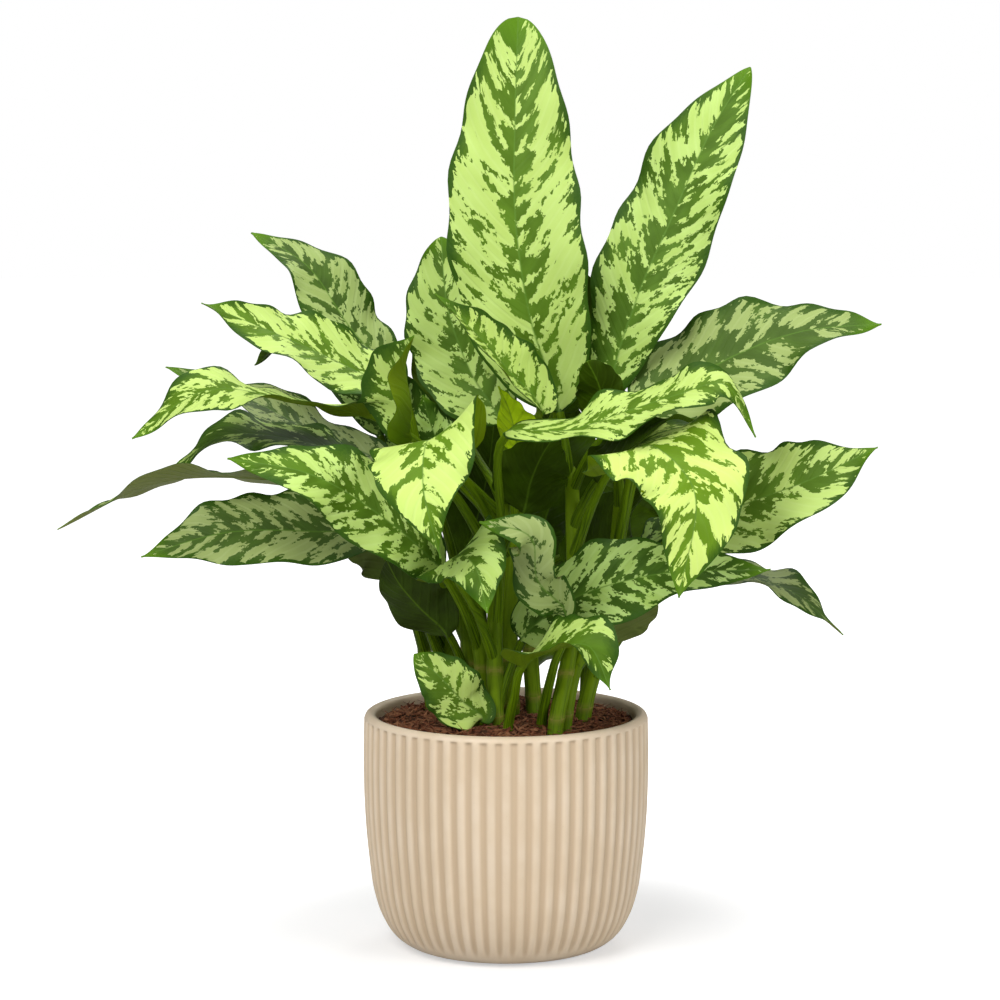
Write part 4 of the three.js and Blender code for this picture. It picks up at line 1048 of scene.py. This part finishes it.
def blade_sections(leaf, phase, v, u):
    """The blade at each share v of its length: how far across, how far over and under its line, and its
    half width."""
    outline = np.abs(np.sin(np.pi * v ** leaf["belly"])) ** (OUTLINE_FULLNESS + leaf["taper"] * v * v)
    half = leaf["width"] / 2 * outline
    stalk = np.maximum(0, 1 - v / STALK_FADE)
    width = np.maximum(np.maximum(half, PETIOLE_RADIUS * stalk), TIP_HALF_WIDTH)[:, None]
    v, half, stalk = v[:, None], half[:, None], stalk[:, None]
    rise = np.abs(np.sin(np.pi * v)) ** WAVE_RISE
    half_phase = np.where(u > 0, HALF_PHASE, 0)
    wave = leaf["wave"] * u * u * np.sin(WHOLE_TURN * leaf["waves"] * v + phase + half_phase) * rise
    beat = np.sin(WHOLE_TURN * RIPPLES * v + RIPPLE_PHASE * phase + half_phase) * rise
    ripple = RIPPLE * leaf["width"] / RIPPLE_WIDTH * np.abs(u) ** 3 * beat
    lift = leaf["fold"] * half * np.abs(u) ** FOLD_CURVE + wave + ripple
    across = width * u * (1 + SCALLOP * beat * np.abs(u))
    rib = np.exp(-((across / MIDRIB_WIDTH) ** 2))
    thick = BLADE_THICKNESS + (MARGIN_THICKNESS - BLADE_THICKNESS) * u**4
    round_stalk = stalk * PETIOLE_RADIUS * STALK_FLATNESS * (1 - STALK_ROUNDNESS * u * u)
    over = lift + thick / 2 + round_stalk - MIDRIB_CHANNEL * rib * (1 - stalk) * (1 - v)
    under = -lift + thick / 2 + round_stalk + MIDRIB_DEPTH * rib * (1 - v)
    return across, over, under, width[:, 0]


def leaf_faces(count):
    """The faces of a leaf's skin between count rings, with its two end caps, and the slot of each."""
    size = 2 * BLADE_COLUMNS
    faces = ring_faces(count, size)
    ring, column = np.divmod(np.arange(len(faces)), size)
    is_under = (column >= BLADE_COLUMNS) & (column < size - 1)
    blade_slots = np.where(is_under, UNDER_SLOT, UPPER_SLOT)
    slots = np.where(ring < PETIOLE_RINGS - 1, PETIOLE_SLOT, blade_slots)
    cap = [[i, i + 1, size - 2 - i, size - 1 - i] for i in range(BLADE_COLUMNS - 1)]
    last = (count - 1) * size
    faces = faces.tolist() + [c[::-1] for c in cap] + [[last + i for i in c] for c in cap]
    return faces, np.concatenate([slots, np.full(len(cap), PETIOLE_SLOT), np.full(len(cap), UPPER_SLOT)])


def make_leaf(leaf, index, materials):
    """A leaf as one closed skin: its petiole, and the upper and the under face of its blade."""
    spline, base_length = leaf_line(leaf)
    u = blade_columns()
    s = np.linspace(0, PETIOLE_END, PETIOLE_RINGS)
    t = np.linspace(0, 1, BLADE_RINGS)
    v = t - BLADE_CROWDING * np.sin(WHOLE_TURN * t) / WHOLE_TURN
    lengths = np.concatenate([s * base_length, base_length + v * (spline.knots[-1] - base_length)])
    shares = np.concatenate([np.zeros(PETIOLE_RINGS), v])
    radius = SHEATH_RADIUS + (PETIOLE_RADIUS - SHEATH_RADIUS) * np.minimum(1, s / SHEATH_END)
    blade = blade_sections(leaf, leaf.get("phase", index * LEAF_PHASE), v, u)
    pairs = zip(petiole_sections(radius, u), blade)
    across, over, under, half = (np.concatenate(pair) for pair in pairs)

    side, up = (way[:, None] for way in leaf_frames(leaf, spline, lengths, shares))
    middle = spline.at(lengths)[:, None] + across[..., None] * side
    top = middle + over[..., None] * up
    bottom = middle - under[..., None] * up
    rings = np.concatenate([top, bottom[:, ::-1]], axis=1)
    faces, slots = leaf_faces(len(rings))
    piece = add_mesh(f"{leaf['name']}_leaf", rings.reshape(-1, 3), faces, materials, slots)
    piece.data.set_sharp_from_angle(angle=math.radians(SHARP_ANGLE))

    along = (lengths - base_length)[:, None]
    # Painted light, partly youth: the petiole turns young towards its blade only as far as its leaf is
    # painted lit.
    youth = smoothstep(*PETIOLE_YOUTH, lengths / base_length)[:, None] * leaf["look"][2]
    fineness = (PATTERN_WIDTH / leaf["width"]) ** 0.5
    attributes = {
        "blade": (along, np.concatenate([across, across[:, ::-1]], axis=1), half[:, None]),
        "leaf": (shares[:, None], fineness, index * PATTERN_STEP),
        "look": leaf["look"],
        "stem": (along + index * STREAK_STEP, np.concatenate([u, 2 - u]), youth),
    }
    for name, parts in attributes.items():
        parts = [np.broadcast_to(part, rings.shape[:2]) for part in parts]
        add_attribute(piece, name, np.stack(parts, axis=2).reshape(-1, 3))
    finished(piece, "leaf", f"leaf_{leaf['name']}")


# ---- Floor, light and camera ----


def make_floor():
    """A matt pale floor. To the camera it glows a little, so that it runs on into the white background."""
    material, tree, shader = new_material(
        "pale_floor", Base_Color=FLOOR_WHITE, Roughness=FLOOR_ROUGHNESS, Emission_Strength=1.0
    )
    seen = tree.add("LightPath").outputs["Is Camera Ray"]
    place = tree.add("TexCoord").outputs["Object"]
    away = tree.add("VectorMath", {0: place}, operation="LENGTH").outputs["Value"]
    far = tree.step(GLOW_REACH[0] * MM, GLOW_REACH[1] * MM, away)
    glow = tree.plus(far, FLOOR_GLOW[1] - FLOOR_GLOW[0], FLOOR_GLOW[0])
    tree.put(tree.times(seen, glow), shader["Emission Color"])
    half = FLOOR_SIZE / 2
    corners = [(-half, -half, 0), (half, -half, 0), (half, half, 0), (-half, half, 0)]
    add_mesh("floor", corners, [(0, 1, 2, 3)], [material], smooth=False)


def make_lamp(name, place, aim, size, watts):
    light = bpy.data.lights.new(name, "AREA")
    light.shape = "DISK"
    light.size = size * MM
    light.energy = watts
    lamp = bpy.data.objects.new(name, light)
    lamp.location = Vector(place) * MM
    lamp.rotation_euler = (Vector(aim) - Vector(place)).to_track_quat("-Z", "Y").to_euler()
    bpy.context.scene.collection.objects.link(lamp)


def make_world():
    """Even white studio light. The camera sees it whiter than it lights the plant."""
    world = bpy.data.worlds.new("studio")
    world.use_nodes = True
    tree = Tree(world.node_tree)
    background = world.node_tree.nodes["Background"].inputs
    seen = tree.add("LightPath").outputs["Is Camera Ray"]
    tree.put(LIGHT_WHITE, background["Color"])
    tree.put(tree.plus(seen, WORLD_SEEN - WORLD_LIGHT, WORLD_LIGHT), background["Strength"])
    bpy.context.scene.world = world


def make_camera():
    data = bpy.data.cameras.new("camera")
    data.lens = LENS
    data.sensor_width = SENSOR
    data.clip_end = CAMERA_REACH
    camera = bpy.data.objects.new("camera", data)
    camera.location = Vector(CAMERA_PLACE) * MM
    camera.rotation_euler = (math.radians(90 - CAMERA_PITCH), 0, 0)
    bpy.context.scene.collection.objects.link(camera)
    bpy.context.scene.camera = camera


# ---- The whole plant ----

veins = leaf_vein_group()
mottle = soft_mottle_group()
petiole = stem_material("petiole", mottle, PETIOLE_YOUNG_AND_LIT, PETIOLE_OLD, PETIOLE_ROUGHNESS)
leaf_materials = [leaf_upper_material(veins), leaf_under_material(veins), petiole]
for index, leaf in enumerate(LEAVES):
    make_leaf(LEAF_DEFAULTS | leaf, index, leaf_materials)

cane_material = stem_material("cane", mottle, CANE_YOUNG, CANE_OLD, CANE_ROUGHNESS)
for name, (radii, line) in CANES.items():
    make_cane(name, radii, line, cane_material)

make_soil(soil_material("soil", mottle, SOIL_DARK, SOIL_BROWN, SOIL_TINT))
make_coir(soil_material("coir", mottle, COIR_DARK, COIR_BROWN, COIR_TINT))
make_pot(pot_material(mottle))

make_floor()
make_world()
for name, (place, aim, size, watts) in LAMPS.items():
    make_lamp(name, place, aim, size, watts)
make_camera()
bpy.context.scene.view_settings.view_transform = "Standard"
